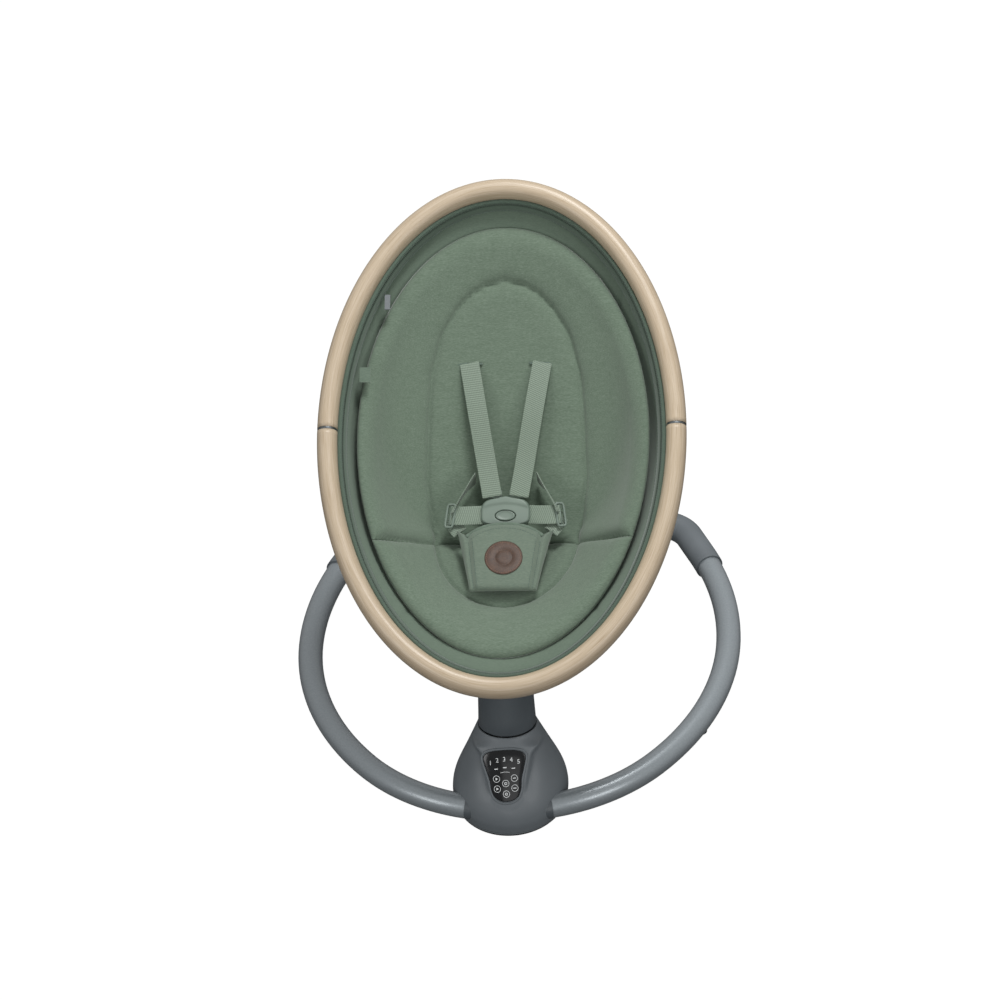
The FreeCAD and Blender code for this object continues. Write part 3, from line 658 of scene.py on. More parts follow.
def repeat_along(name, path, out_of, pitch, length, radius, material, sideways=False, sink=0.0):
    """Copies of a capsule along a path by Geometry Nodes: path and out_of are arrays in the row frame."""
    steps = np.linalg.norm(np.diff(path, axis=0), axis=1)
    travelled = np.concatenate([[0], np.cumsum(steps)])
    count = max(2, int(travelled[-1] / (pitch * MM)))
    stops = (np.arange(count) + 0.5) * travelled[-1] / count
    spots = np.stack([np.interp(stops, travelled, path[:, k]) for k in range(3)], axis=1)
    outs = np.stack([np.interp(stops, travelled, out_of[:, k]) for k in range(3)], axis=1)
    outs /= np.linalg.norm(outs, axis=1, keepdims=True)
    ahead = np.stack([np.interp(stops + 1e-4, travelled, path[:, k])
                      - np.interp(stops - 1e-4, travelled, path[:, k]) for k in range(3)], axis=1)
    ahead /= np.linalg.norm(ahead, axis=1, keepdims=True)
    if sideways:
        ahead = np.cross(outs, ahead)
    spots = spots - outs * sink * MM
    mesh = bpy.data.meshes.new(name + "_spots")
    mesh.from_pydata([tuple(v) for v in spots], [], [])
    for key, values in (("ahead", ahead), ("outs", outs)):
        layer = mesh.attributes.new(key, "FLOAT_VECTOR", "POINT")
        layer.data.foreach_set("vector", values.astype(np.float32).ravel())
    stamp = capsule(name + "_stamp", length, radius, material)
    tree = bpy.data.node_groups.new(name + "_nodes", "GeometryNodeTree")
    tree.interface.new_socket("Geometry", in_out="INPUT", socket_type="NodeSocketGeometry")
    tree.interface.new_socket("Geometry", in_out="OUTPUT", socket_type="NodeSocketGeometry")
    start = tree.nodes.new("NodeGroupInput")
    end = tree.nodes.new("NodeGroupOutput")
    along = add(tree, "GeometryNodeInputNamedAttribute", {"Name": "ahead"}, data_type="FLOAT_VECTOR")
    above = add(tree, "GeometryNodeInputNamedAttribute", {"Name": "outs"}, data_type="FLOAT_VECTOR")
    first = add(tree, "FunctionNodeAlignRotationToVector", {"Vector": along.outputs["Attribute"]},
                axis="X")
    second = add(tree, "FunctionNodeAlignRotationToVector",
                 {"Rotation": first.outputs["Rotation"], "Vector": above.outputs["Attribute"]},
                 axis="Z", pivot_axis="X")
    model = add(tree, "GeometryNodeObjectInfo", {"Object": stamp})
    copies = add(tree, "GeometryNodeInstanceOnPoints",
                 {"Points": start.outputs["Geometry"], "Instance": model.outputs["Geometry"],
                  "Rotation": second.outputs["Rotation"]})
    real = add(tree, "GeometryNodeRealizeInstances", {"Geometry": copies.outputs["Instances"]})
    dressed = add(tree, "GeometryNodeSetMaterial",
                  {"Geometry": real.outputs["Geometry"], "Material": material})
    tree.links.new(dressed.outputs["Geometry"], end.inputs["Geometry"])
    carrier = bpy.data.objects.new(name + "_carrier", mesh)
    bpy.context.scene.collection.objects.link(carrier)
    carrier.modifiers.new("copies", "NODES").node_group = tree
    bpy.context.view_layer.update()
    graph = bpy.context.evaluated_depsgraph_get()
    made = bpy.data.meshes.new_from_object(carrier.evaluated_get(graph))
    made.name = name
    result = bpy.data.objects.new(name, made)
    bpy.context.scene.collection.objects.link(result)
    for spare in (carrier, stamp):
        bpy.data.objects.remove(spare, do_unlink=True)
    for polygon in made.polygons:
        polygon.use_smooth = True
    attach(result, "seat")
    return result


# ---------------------------------------------------------------- zipped band
def band_ring(inset, level, count=480):
    """An oval at a distance inside the rim's inner side, as an array of (x, u, w)."""
    turns = np.linspace(0, 2 * math.pi, count, endpoint=False)
    clear = RIM_HALF_WIDTH + 0.5 + inset
    return np.stack([(RIM_WIDE - clear) * np.sin(turns), (RIM_LONG - clear) * np.cos(turns),
                     np.full(count, level)], axis=1)


def make_band():
    """The zipped band between rim and shell, with its zip coil and edge stitches."""
    top = np.array([band_ring(a, b) for a, b in
                    ((-1.6, -3.0), (-0.9, 0.6), (1.2, 2.2), (3.6, 1.6), (5.6, -2.2), (8.2, -7.0),
                     (10.6, -11.5))])
    under = np.array([band_ring(a, b) for a, b in
                      ((0.5, -5.0), (2.6, -8.0), (6.5, -12.6), (10.2, -13.4))])
    rows = np.concatenate([top, under[::-1]])
    faces = strip_faces(len(rows), rows.shape[1], wrap_rows=True, wrap_cols=True)
    band = outward(piece("zip_band_fabric", list(to_row(rows)), faces, BAND))
    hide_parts("zip_band")
    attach(band, "seat")
    normal = np.array(OUT)
    loop = np.vstack([top[4], top[4][:1]])
    slope = to_row(loop * (1, 1, 1)) - to_row(np.vstack([top[5], top[5][:1]]))
    slope /= np.linalg.norm(slope, axis=1, keepdims=True)
    path = to_row(loop)
    tangent = np.gradient(path, axis=0)
    facing = np.cross(tangent, slope)
    facing /= np.linalg.norm(facing, axis=1, keepdims=True)
    facing *= np.sign((facing * normal).sum(axis=1, keepdims=True))
    repeat_along("zip_coil", path, facing, 2.4, 4.2, 0.75, COIL, sideways=True)
    for name, row in (("band_stitch_upper", 3), ("band_stitch_lower", 6)):
        line = to_row(np.vstack([top[row], top[row][:1]]))
        repeat_along(name, line, np.repeat(normal[None], len(line), axis=0), 4.2, 3.0, 0.4, THREAD,
                     sink=0.1)


make_band()


# ---------------------------------------------------------------- newborn inlay
def polyline(points, closed=False, spacing=2.0):
    """Evenly spaced points along straight runs between the given ones."""
    points = [np.array(p, float) for p in points]
    if closed:
        points.append(points[0])
    out = []
    for a, b in zip(points, points[1:]):
        count = max(1, int(np.linalg.norm(b - a) / spacing))
        out += [a + (b - a) * i / count for i in range(count)]
    out.append(points[-1])
    return np.array(out)


def hip_sag(x):
    """How far the hip crease sags towards the foot end at a distance x from the middle."""
    return 22.0 * (x / 165.0) ** 2


def panel_half(u):
    """Half-width of the inlay's oval back panel at a height u."""
    return np.interp(u, (-114, -30, 60, 107, 156, 190, 208, 220, 226),
                     (92, 103, 100, 96, 83, 62, 45, 25, 0))


def panel_line():
    """The seam round the back panel, from the hip line up one side and down the other."""
    heights = np.concatenate([np.linspace(HIP_LINE - 7, 190, 60), np.linspace(192, 226, 24)])
    side = np.stack([panel_half(heights), heights], axis=1)
    return polyline(np.vstack([side, side[::-1] * (-1, 1)]))


def seat_line():
    """The U-shaped seam of the seat panel, below the hip line."""
    turns = np.linspace(0, math.pi, 60)
    return polyline(np.stack([93 * np.cos(turns), HIP_LINE - 105 * np.sin(turns)], axis=1))


def nearest(points, line):
    """Distance of each point to a line of points and how far along the line that is."""
    travelled = np.concatenate([[0], np.cumsum(np.linalg.norm(np.diff(line, axis=0), axis=1))])
    best = np.full(len(points), 1e9)
    where = np.zeros(len(points))
    for start in range(0, len(points), 4000):
        block = points[start:start + 4000]
        gap = np.linalg.norm(block[:, None, :] - line[None], axis=2)
        best[start:start + 4000] = gap.min(axis=1)
        where[start:start + 4000] = travelled[gap.argmin(axis=1)]
    return best, where


def inlay_surfaces():
    """Top and underside grids of the quilted inlay, before it is cut along the hip line."""
    sides = 480
    shares = INLAY_START + (1 - INLAY_START) * np.linspace(0, 1, 74)
    under = bowl_grid(INLAY_MOUTH, BOWL_WALL + 0.6, shares, sides, 22)
    higher = bowl_grid(INLAY_MOUTH, BOWL_WALL + 0.6,
                       INLAY_FOOT_START + (1 - INLAY_FOOT_START) * np.linspace(0, 1, 74), sides, 22)
    to_foot = (0.5 - 0.5 * np.cos(np.linspace(0, 2 * math.pi, sides, endpoint=False))) ** 2
    under = under + (higher - under) * to_foot[None, :, None]
    normals = grid_normals(under)
    flat = under.reshape(-1, 3)[:, :2]
    rim = np.linalg.norm(under - under[:1], axis=2).reshape(-1)
    edge_turn = np.tile(np.arange(sides), len(under)) * 3.2
    thick = 15.5 * np.sqrt(1 - (1 - np.clip((rim + 0.6) / 30.0, 0, 1)) ** 2) * np.exp(-rim / 420)
    pucker = np.exp(-rim / 12) * noise2(edge_turn / 9.0, rim / 40, 3) * 0.8
    hip = np.abs(flat[:, 1] + hip_sag(flat[:, 0]) - HIP_LINE)
    hip_factor = np.sqrt(1 - (1 - np.clip((hip + 0.3) / 17.0, 0, 1)) ** 2)
    thick *= hip_factor
    pucker += np.exp(-hip / 9) * noise2(flat[:, 0] / 6.0, hip / 30, 8) * 1.2
    for line, seed in ((panel_line(), 11), (seat_line(), 12)):
        away, where = nearest(flat, line)
        side_of = (flat[:, 1] + hip_sag(flat[:, 0]) > HIP_LINE) == (seed == 11)
        groove = 0.5 * np.exp(-(away / 9.0) ** 1.2) + 0.3 * np.exp(-(away / 2.2) ** 2)
        thick *= np.where(side_of, 1 - groove, 1)
        pucker += np.where(side_of, np.exp(-away / 8) * noise2(where / 6.0, away / 25, seed) * 0.75, 0)
    loft = noise2(flat[:, 0] / 30, flat[:, 1] / 30, 21) * 0.9
    fine = noise2(flat[:, 0] / 9, flat[:, 1] / 12, 22) * 0.28
    height = np.maximum(thick + (pucker + loft + fine) * np.clip(thick / 6, 0.15, 1), 1.4)
    upper = under + normals * height.reshape(under.shape[:2])[..., None]
    return upper, under, normals


def cut_at_hip(obj, keep_head):
    """Keeps the part of a closed layer on one side of the hip line and closes the cut."""
    work = bmesh.new()
    work.from_mesh(obj.data)
    along = (seat(0, 1, 0) - seat(0, 0, 0)).normalized()
    spot = seat(0, HIP_LINE + (0.4 if keep_head else -0.4), 0)
    for vert in work.verts:
        vert.co += along * (hip_sag(vert.co.x / MM) * MM)
    found = bmesh.ops.bisect_plane(work, geom=work.verts[:] + work.edges[:] + work.faces[:], dist=1e-7,
                                   plane_co=spot, plane_no=along if not keep_head else -along,
                                   clear_outer=True)
    rim = [item for item in found["geom_cut"] if isinstance(item, bmesh.types.BMEdge)]
    bmesh.ops.holes_fill(work, edges=rim, sides=0)
    bmesh.ops.triangulate(work, faces=[face for face in work.faces if len(face.verts) > 4])
    for vert in work.verts:
        vert.co -= along * (hip_sag(vert.co.x / MM) * MM)
    bmesh.ops.recalc_face_normals(work, faces=work.faces)
    work.to_mesh(obj.data)
    work.free()


INLAY_TOP, INLAY_UNDER, _ = inlay_surfaces()
TOP_POINTS = INLAY_TOP.reshape(-1, 3)


def turned(normals):
    """Seat-frame directions in the row frame."""
    along = np.array((0, math.cos(RIM_TILT), math.sin(RIM_TILT)))
    out = np.array((0, -math.sin(RIM_TILT), math.cos(RIM_TILT)))
    return normals[:, :1] * np.array((1.0, 0, 0)) + normals[:, 1:2] * along + normals[:, 2:3] * out


def make_inlay():
    """Two quilted cushions that meet at the hip crease."""
    for node, keep_head in (("inlay_back_pad", True), ("inlay_seat_pad", False)):
        pad = closed_bowl(node + "_cushion", INLAY_TOP, INLAY_UNDER, INLAY)
        cut_at_hip(pad, keep_head)
        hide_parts(node)
        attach(pad, "seat")


make_inlay()

# ---------------------------------------------------------------- harness
def smooth_path(points, count):
    """A Catmull-Rom curve through a few points, as an array."""
    points = np.array(points, float)
    padded_points = np.vstack([2 * points[0] - points[1], points, 2 * points[-1] - points[-2]])
    spots = []
    for t in np.linspace(0, len(points) - 1 - 1e-6, count):
        k, f = int(t), t - int(t)
        a, b, c, d = padded_points[k:k + 4]
        spots.append(0.5 * (2 * b + (c - a) * f + (2 * a - 5 * b + 4 * c - d) * f ** 2
                            + (3 * b - a - 3 * c + d) * f ** 3))
    return np.array(spots)


def ribbon(name, points, facings, count=60, width=WEBBING, thickness=1.5, body="seat"):
    """Webbing along seat-frame points; facings are the directions its face looks at those points.

    It rides on the named body, or on none when no body is given."""
    path = to_row(smooth_path(points, count))
    looks = turned(smooth_path(facings, count))
    tangents = np.gradient(path, axis=0)
    tangents /= np.linalg.norm(tangents, axis=1, keepdims=True)
    looks -= tangents * (looks * tangents).sum(axis=1, keepdims=True)
    looks /= np.linalg.norm(looks, axis=1, keepdims=True)
    strap = sweep(name, [Vector(v) for v in path], [Vector(v) for v in looks],
                  oval_section(width / 2, thickness / 2, 24, 7.0), WEB, woven=True)
    if body:
        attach(strap, body)
    return strap


def top_level(x, u):
    """Level of the inlay's top at a plan point."""
    pick = np.argmin((TOP_POINTS[:, 0] - x) ** 2 + (TOP_POINTS[:, 1] - u) ** 2)
    return TOP_POINTS[pick, 2]


def make_slot(name, x, u, slant):
    """A bound buttonhole where a strap comes through the inlay, with its bar of satin stitches."""
    level = top_level(x, u) + 0.4
    ends = [(x - 17, u - slant, level), (x + 17, u + slant, level)]
    path = to_row(smooth_path(ends, 12))
    outs = np.repeat(np.array(OUT)[None], 12, axis=0)
    bar = sweep(name, [Vector(v) for v in path], [Vector(v) for v in outs], oval_section(1.7, 1.1, 12),
                BINDING)
    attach(bar, "seat")
    repeat_along(name + "_stitches", path + outs * 0.9 * MM, outs, 0.9, 3.3, 0.32, THREAD, sideways=True)


def make_straps():
    for side, sign in (("left", -1), ("right", 1)):
        x, u = 47 * sign, 118
        level = top_level(x, u)
        shoulder = ribbon(f"shoulder_webbing_{side}",
                          [(x, u + 1, level - 3), (x * 0.98, u - 3, level + 1.6), (36 * sign, 55, -67.5),
                           (25 * sign, -10, -77), (17 * sign, -56, -80)],
                          [(0, 0.3, 1), (0, 0.1, 1), (0, 0, 1), (0, 0.05, 1), (0, 0.1, 1)], 90)
        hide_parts(f"shoulder_strap_{side}")
        make_slot(f"shoulder_slot_{side}", x, u + 1.5, 0)
        slider = f"adjuster_{side}_body"
        loose = ribbon(f"waist_webbing_{side}",
                       [(40 * sign, -27, -91), (50 * sign, -43, -84), (62 * sign, -64, -82),
                        (69.5 * sign, -77, -82)],
                       [(0.95 * sign, 0.25, -0.05), (0.92 * sign, 0.4, 0.1), (0.9 * sign, 0.45, 0.15),
                        (0.85 * sign, 0.4, 0.35)], 40, 22, body=None)
        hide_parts(f"waist_strap_{side}")
        taut = ribbon(f"hip_webbing_{side}",
                      [(70 * sign, -80, -80), (58 * sign, -81, -78.5), (44 * sign, -80.5, -80),
                       (29 * sign, -79, -83)],
                      [(0.15 * sign, 0, 1), (0, 0, 1), (0, 0, 1), (-0.15 * sign, 0, 1)], 30, body=None)
        ribbon(f"strap_tail_{side}",
               [(71 * sign, -82, -83), (66 * sign, -92, -84.5), (58 * sign, -103, -82)],
               [(0.5 * sign, 0.3, 1), (0.3 * sign, 0.4, 1), (0.2 * sign, 0.3, 1)], 24, 20, body=slider)
        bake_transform(loose)
        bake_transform(taut)
    crotch = ribbon("crotch_webbing", [(0, -96, -84), (0, -130, -76), (0, -168, -63)],
                    [(0, 0.3, 1), (0, 0.3, 1), (0, 0.3, 1)], 20)
    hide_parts("crotch_strap")


def make_adjusters():
    """Three-bar slides: a rounded frame with a middle bar the webbing is wound round."""
    for side, sign in (("left", -1), ("right", 1)):
        middle = np.array((70.5 * sign, -80.5, -80.0))
        turn = math.radians(8 * sign)
        across = np.array((math.cos(turn), math.sin(turn), -0.35 * sign))
        across /= np.linalg.norm(across)
        along = np.array((-math.sin(turn), math.cos(turn), 0.0))
        looks = np.cross(across, along)
        corners = []
        for k in range(64):
            angle = 2 * math.pi * k / 64
            c, s = math.cos(angle), math.sin(angle)
            a = 5.4 * math.copysign(abs(c) ** 0.35, c)
            b = 15.2 * math.copysign(abs(s) ** 0.35, s)
            corners.append(middle + across * a + along * b)
        path = [Vector(v) for v in to_row(np.array(corners))]
        out = Vector(turned(looks[None])[0])
        frame_ring = sweep(f"adjuster_frame_{side}", path, [out] * 64, oval_section(1.5, 1.9, 12, 3.0),
                           GREEN_ABS,
                           closed=True)
        bar_ends = np.array([middle - along * 14.5 - looks * 0.6, middle + along * 14.5 - looks * 0.6])
        bar = sweep(f"adjuster_bar_{side}", [Vector(v) for v in to_row(bar_ends)], [out] * 2,
                    oval_section(1.3, 1.1, 12), GREEN_ABS)
        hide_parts(f"strap_adjuster_{side}")
        for item in (frame_ring, bar):
            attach(item, f"adjuster_{side}_body")


BUCKLE_MIDDLE = (0.0, -77.0)
BUTTON_SPOT = (0.0, -82.0)


def buckle_outline(turns):
    """The buckle's plan outline: wide, with an arched top edge, rounded corners and a small middle bump."""
    c, s = np.cos(turns), np.sin(turns)
    x = 31.5 * np.sign(c) * np.abs(c) ** 0.42
    u = 17.0 * np.sign(s) * np.abs(s) ** 0.5
    upper = s > 0
    u = np.where(upper, u + 3.0 * np.cos(x / 31.5 * math.pi / 2) + 2.2 * np.exp(-(x / 7.0) ** 4), u)
    x = np.where(upper, x * (1 - 0.05 * s), x)
    return x + BUCKLE_MIDDLE[0], u + BUCKLE_MIDDLE[1]


def make_buckle():
    """Buckle body with a raised upper lip and a recessed oval button, as one shell of rings."""
    sides = 128
    turns = np.linspace(0, 2 * math.pi, sides, endpoint=False)
    ox, ou = buckle_outline(turns)
    hx = BUTTON_SPOT[0] + 14.0 * np.cos(turns)
    hu = BUTTON_SPOT[1] + 8.0 * np.sin(turns)
    rows = []
    for scale, level in ((0.9, -90.5), (0.97, -90.0), (1.0, -88.0), (1.0, -81.5), (0.985, -79.2),
                         (0.955, -77.6)):
        rows.append(np.stack([BUCKLE_MIDDLE[0] + (ox - BUCKLE_MIDDLE[0]) * scale,
                              BUCKLE_MIDDLE[1] + (ou - BUCKLE_MIDDLE[1]) * scale, np.full(sides, level)],
                             axis=1))
    edge = rows[-1]
    for share in np.linspace(0.08, 1.0, 16):
        x = edge[:, 0] * (1 - share) + hx * share
        u = edge[:, 1] * (1 - share) + hu * share
        step = 1 / (1 + np.exp(-(u - (-66.0 - 0.006 * x ** 2)) / 0.5))
        level = -77.2 + 0.8 * (1 - ((x / 33) ** 2)) + 1.5 * step
        rows.append(np.stack([x, u, level], axis=1))
    for shrink, level in ((0.97, -77.0), (0.95, -78.0), (0.95, -82.0)):
        rows.append(np.stack([BUTTON_SPOT[0] + (hx - BUTTON_SPOT[0]) * shrink,
                              BUTTON_SPOT[1] + (hu - BUTTON_SPOT[1]) * shrink, np.full(sides, level)],
                             axis=1))
    rows = np.array(rows)
    verts, faces = capped(rows, sides)
    body = outward(piece("buckle_shell", verts, faces, GREEN_ABS))
    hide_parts("buckle_body")
    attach(body, "seat")
    knob_rows = []
    for scale, level in ((0.5, -79.8), (1.0, -79.6), (1.0, -77.4), (0.95, -76.2), (0.84, -75.6),
                         (0.8, -75.9),
                         (0.74, -76.3), (0.4, -76.5)):
        knob_rows.append(np.stack([BUTTON_SPOT[0] + 12.7 * scale * np.cos(turns),
                                   BUTTON_SPOT[1] + 6.8 * scale * np.sin(turns), np.full(sides, level)],
                                  axis=1))
    knob_rows = np.array(knob_rows)
    verts, faces = capped(knob_rows, sides)
    knob = outward(piece("buckle_push_button", verts, faces, GREEN_ABS))
    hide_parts("buckle_button")
    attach(knob, "buckle_button_body")


def cover_top(x):
    """Upper edge of the crotch cover: an arch between two folded wings."""
    x = np.abs(x)
    return np.where(x < 48, -95 - 16 * (x / 48) ** 2.2, -111 + 10 * np.clip((x - 48) / 14, 0, 1))


def cover_spot(across, down):
    """Plan point and underside level of the cover; across from -1 to 1, down from 0 to 1."""
    half_top, half_low = 62.0, 42.5
    x = across * (half_top + (half_low - half_top) * down ** 0.9)
    top = cover_top(across * half_top)
    u = top + (-191.0 - top) * down
    drape = -9.0 * np.clip((np.abs(x) - 30) / 32, 0, 1) ** 1.6 - 4.0 * down ** 6
    level = -72.5 + 0.302 * (-95 - u) + drape
    return x, u, level


def make_cover():
    """The padded crotch cover: a crowned shield with folded side wings and a bound arch."""
    cols, rows = 120, 90
    across, down = np.meshgrid(np.sin(np.linspace(-1, 1, cols) * math.pi / 2), np.linspace(0, 1, rows))
    x, u, level = cover_spot(across, down)
    half = 62.0 + (42.5 - 62.0) * down ** 0.9
    away = np.minimum(np.minimum((1 - np.abs(across)) * half, (u + 191.0)), (cover_top(across * 62.0) - u))
    fold = np.abs(np.abs(x) - (47 - 10 * down))
    puff = 7.2 * np.sqrt(1 - (1 - np.clip((away + 0.15) / 9.0, 0, 1)) ** 2)
    puff *= 1 - 0.45 * np.exp(-(fold / 3.0) ** 2)
    puff += (noise2(x / 12, u / 16, 31) * 0.5 + 0.8 * np.exp(-fold / 7) * noise2(u / 7, x / 18, 32)) \
        * np.clip(away / 8, 0, 1)
    upper = np.stack([x, u, level + np.maximum(puff, 0.3)], axis=2)
    lower = np.stack([x, u, level - 0.6 * np.clip(away / 3, 0.1, 1)], axis=2)
    verts = list(to_row(upper)) + list(to_row(lower))
    count = rows * cols
    top_faces = strip_faces(rows, cols)
    faces = top_faces + [tuple(i + count for i in reversed(face)) for face in top_faces]
    border = ([c for c in range(cols)] + [r * cols + cols - 1 for r in range(1, rows)]
              + [(rows - 1) * cols + c for c in range(cols - 2, -1, -1)]
              + [r * cols for r in range(rows - 2, 0, -1)])
    for a, b in zip(border, border[1:] + border[:1]):
        faces.append((a, b, b + count, a + count))
    cover = outward(piece("crotch_cover_pad", verts, faces, COVER))
    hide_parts("crotch_cover")
    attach(cover, "seat")

    def laid(xs, us, lift):
        spots = upper.reshape(-1, 3)
        picks = [np.argmin((spots[:, 0] - a) ** 2 + (spots[:, 1] - b) ** 2) for a, b in zip(xs, us)]
        levels = spots[picks, 2]
        for _ in range(4):
            levels[1:-1] = (levels[:-2] + levels[1:-1] + levels[2:]) / 3
        return np.stack([xs, us, levels + lift], axis=1)

    facing = np.array((0, 0.3, 0.95))
    arch_x = np.linspace(-49, 49, 70)
    arch = laid(arch_x, -95.6 - 16 * (np.abs(arch_x) / 48) ** 2.2, 0.2)
    outs = turned(np.repeat(facing[None], len(arch), axis=0))
    binding = sweep("cover_binding", [Vector(v) for v in to_row(arch)], [Vector(v) for v in outs],
                    oval_section(2.6, 1.5, 14), BINDING)
    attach(binding, "seat")
    for name, gap in (("arch_stitches", 7.5),):
        line = laid(arch_x * 0.88, -95 - gap - 15 * (np.abs(arch_x) / 48) ** 2.2, 0.1)
        repeat_along(name, to_row(line), outs, 3.4, 2.4, 0.38, THREAD)
    for side in (-1, 1):
        for name, inset in (("fold_stitches_outer", 0.0), ("fold_stitches_inner", 5.0)):
            down_line = np.linspace(0.12, 0.97, 60)
            xs = side * (47 - 10 * down_line - inset)
            us = -111 + (-191 + 111) * down_line
            line = laid(xs, us, 0.2)
            repeat_along(f"{name}_{'left' if side < 0 else 'right'}", to_row(line),
                         turned(np.repeat(facing[None], 60, axis=0)), 3.4, 2.4, 0.38, THREAD)
    make_patch(upper)


def make_patch(cover_upper):
    """The round leather patch: a domed disc with a rolled edge and a ring of stitches."""
    spots = cover_upper.reshape(-1, 3)
    middle = np.array((0.0, -146.0))
    sides = 96
    turns = np.linspace(0, 2 * math.pi, sides, endpoint=False)
    base = spots[np.argmin(((spots[:, :2] - middle) ** 2).sum(axis=1)), 2]
    slope = -0.302
    rows = []
    for radius, lift in ((21.0, -1.2), (23.9, -0.8), (24.4, 0.2), (24.0, 1.0), (22.8, 1.35), (21.9, 1.2),
                         (21.2, 1.35),
                         (18.0, 1.5), (12.0, 1.6), (11.4, 1.25), (10.2, 1.25), (9.6, 1.6), (5.0, 1.65),
                         (1.5, 1.65)):
        x, u = middle[0] + radius * np.cos(turns), middle[1] + radius * np.sin(turns)
        rows.append(np.stack([x, u, base + slope * (u - middle[1]) + lift], axis=1))
    rows = np.array(rows)
    verts, faces = capped(rows, sides)
    patch = outward(piece("leather_patch_disc", verts, faces, LEATHER))
    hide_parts("leather_patch")
    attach(patch, "seat")
    ring = rows[5]
    ring = np.vstack([ring, ring[:1]])
    facing = turned(np.repeat(np.array((0, 0.3, 0.95))[None], len(ring), axis=0))
    repeat_along("patch_stitches", to_row(ring), facing, 2.9, 2.1, 0.35, LEATHER_THREAD)


make_straps()
make_adjusters()
make_buckle()
make_cover()

# ---------------------------------------------------------------- hub, neck and control panel
HUB_WIDE = 74.0
HUB_DEEP = 80.0
SEAM_BACK = 17.0
SEAM_RISE = 110.0
NECK_RADIUS = 37.0
LEAN = math.radians(9.5)
FRONT_FOOT = np.array((0.0, -HUB_DEEP, 22.0))
FRONT_CROWN = np.array((0.0, SEAM_BACK - NECK_RADIUS * math.cos(LEAN),
                        SEAM_RISE + NECK_RADIUS * math.sin(LEAN)))
FRONT_UP = (FRONT_CROWN - FRONT_FOOT) / np.linalg.norm(FRONT_CROWN - FRONT_FOOT)
FRONT_OUT = np.array((0.0, -FRONT_UP[2], FRONT_UP[1]))
PANEL_RISE = 59.0


def hub_to_row(points):
    """Hub-frame points (mm, from the floor under the hub's axis) in the row frame."""
    return np.array(HUB_CENTRE) + points.reshape(-1, 3) * MM


def hub_ring(level, share, turns, inset):
    middle = SEAM_BACK * (level / SEAM_RISE) ** 2
    return np.stack([(HUB_WIDE * share - inset) * np.cos(turns),
                     middle + (HUB_DEEP * share - inset) * np.sin(turns),
                     np.full(len(turns), level)], axis=1)


def hub_rows(inset, lowest, count, sides):
    """Rings up the hub's leaning cone, curved smoothly through five stations."""
    turns = np.linspace(0, 2 * math.pi, sides, endpoint=False)
    radius = NECK_RADIUS + 1.8 - inset
    top = np.stack([radius * np.cos(turns), SEAM_BACK + radius * np.sin(turns) * math.cos(LEAN),
                    SEAM_RISE - radius * np.sin(turns) * math.sin(LEAN)], axis=1)
    stations = [hub_ring(lowest, 0.985, turns, inset), hub_ring(22, 1.0, turns, inset),
                hub_ring(42, 0.94, turns, inset), hub_ring(76, 0.73, turns, inset), top]
    flat = smooth_path([station.ravel() for station in stations], count)
    return flat.reshape(count, sides, 3)


def bib_level(x, rise):
    """How proud the flattened front facet stands of the line from the hub's foot to its seam."""
    return 3.4 - 0.0045 * x ** 2 - 0.0006 * (rise - PANEL_RISE) ** 2


def bib_half(rise):
    return np.interp(rise, (18, 24, 32, 44, 66, 90, 100, 112), (4, 14, 20, 23.5, 28, 33, 41, 47))


def make_hub():
    """Hub shell: a leaning cone with a flattened front facet and scooped shoulders beside it."""
    sides, count = 220, 84
    outer = hub_rows(0.0, 5.9, count, sides)
    inner = hub_rows(3.0, 7.5, 24, sides)
    rise = (outer - FRONT_FOOT) @ FRONT_UP
    proud = (outer - FRONT_FOOT) @ FRONT_OUT
    x = outer[..., 0]
    front = np.clip((-outer[..., 1] + SEAM_BACK) / 20, 0, 1)
    fade = np.clip((rise - 14) / 12, 0, 1) * np.clip((110 - rise) / 10, 0, 1) * front
    inside = 1 / (1 + np.exp((np.abs(x) - bib_half(rise)) / 0.8))
    facet = bib_level(x, rise)
    beyond = np.clip(np.abs(x) - bib_half(rise), 0, None)
    scoop = 3.4 * np.exp(-(beyond / 13.0) ** 2) * (1 - inside) * np.clip((rise - 30) / 25, 0, 1)
    shift = (inside * (facet - proud) - scoop) * fade
    outer = outer + shift[..., None] * FRONT_OUT
    lip = outer[-1] * 0.985 + np.array((0, SEAM_BACK, SEAM_RISE)) * 0.015
    rows = np.concatenate([outer, lip[None] + np.array((0, 0, 0.35)), inner[::-1]])
    faces = strip_faces(len(rows), sides, wrap_rows=True, wrap_cols=True)
    shell = outward(piece("hub_shell", list(hub_to_row(rows)), faces, GREY_ABS))
    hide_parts("hub_housing", "hub_front_cover")
    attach(shell, "base")


def front_spot(x, rise, lift):
    """Hub-frame points on the front facet."""
    x, rise = np.asarray(x, float), np.asarray(rise, float)
    proud = bib_level(x, rise) + lift
    return (FRONT_FOOT + np.multiply.outer(x, (1.0, 0, 0)) + np.multiply.outer(rise, FRONT_UP)
            + np.multiply.outer(proud, FRONT_OUT))


def panel_turn(points):
    """Panel points turned a little anticlockwise, as the panel sits on the facet."""
    c, s = math.cos(math.radians(2.6)), math.sin(math.radians(2.6))
    points = np.asarray(points, float)
    return np.stack([points[..., 0] * c - points[..., 1] * s,
                     (points[..., 0] * s + points[..., 1] * c) * 1.04],
                    axis=-1)


def printed_spot(xs, ys, lift):
    """Hub-frame points of printing on the panel, from its own middle."""
    spots = panel_turn(np.stack(np.broadcast_arrays(xs, ys), axis=-1)) + (-1.6, 4.6)
    return front_spot(spots[..., 0], PANEL_RISE + spots[..., 1], lift)


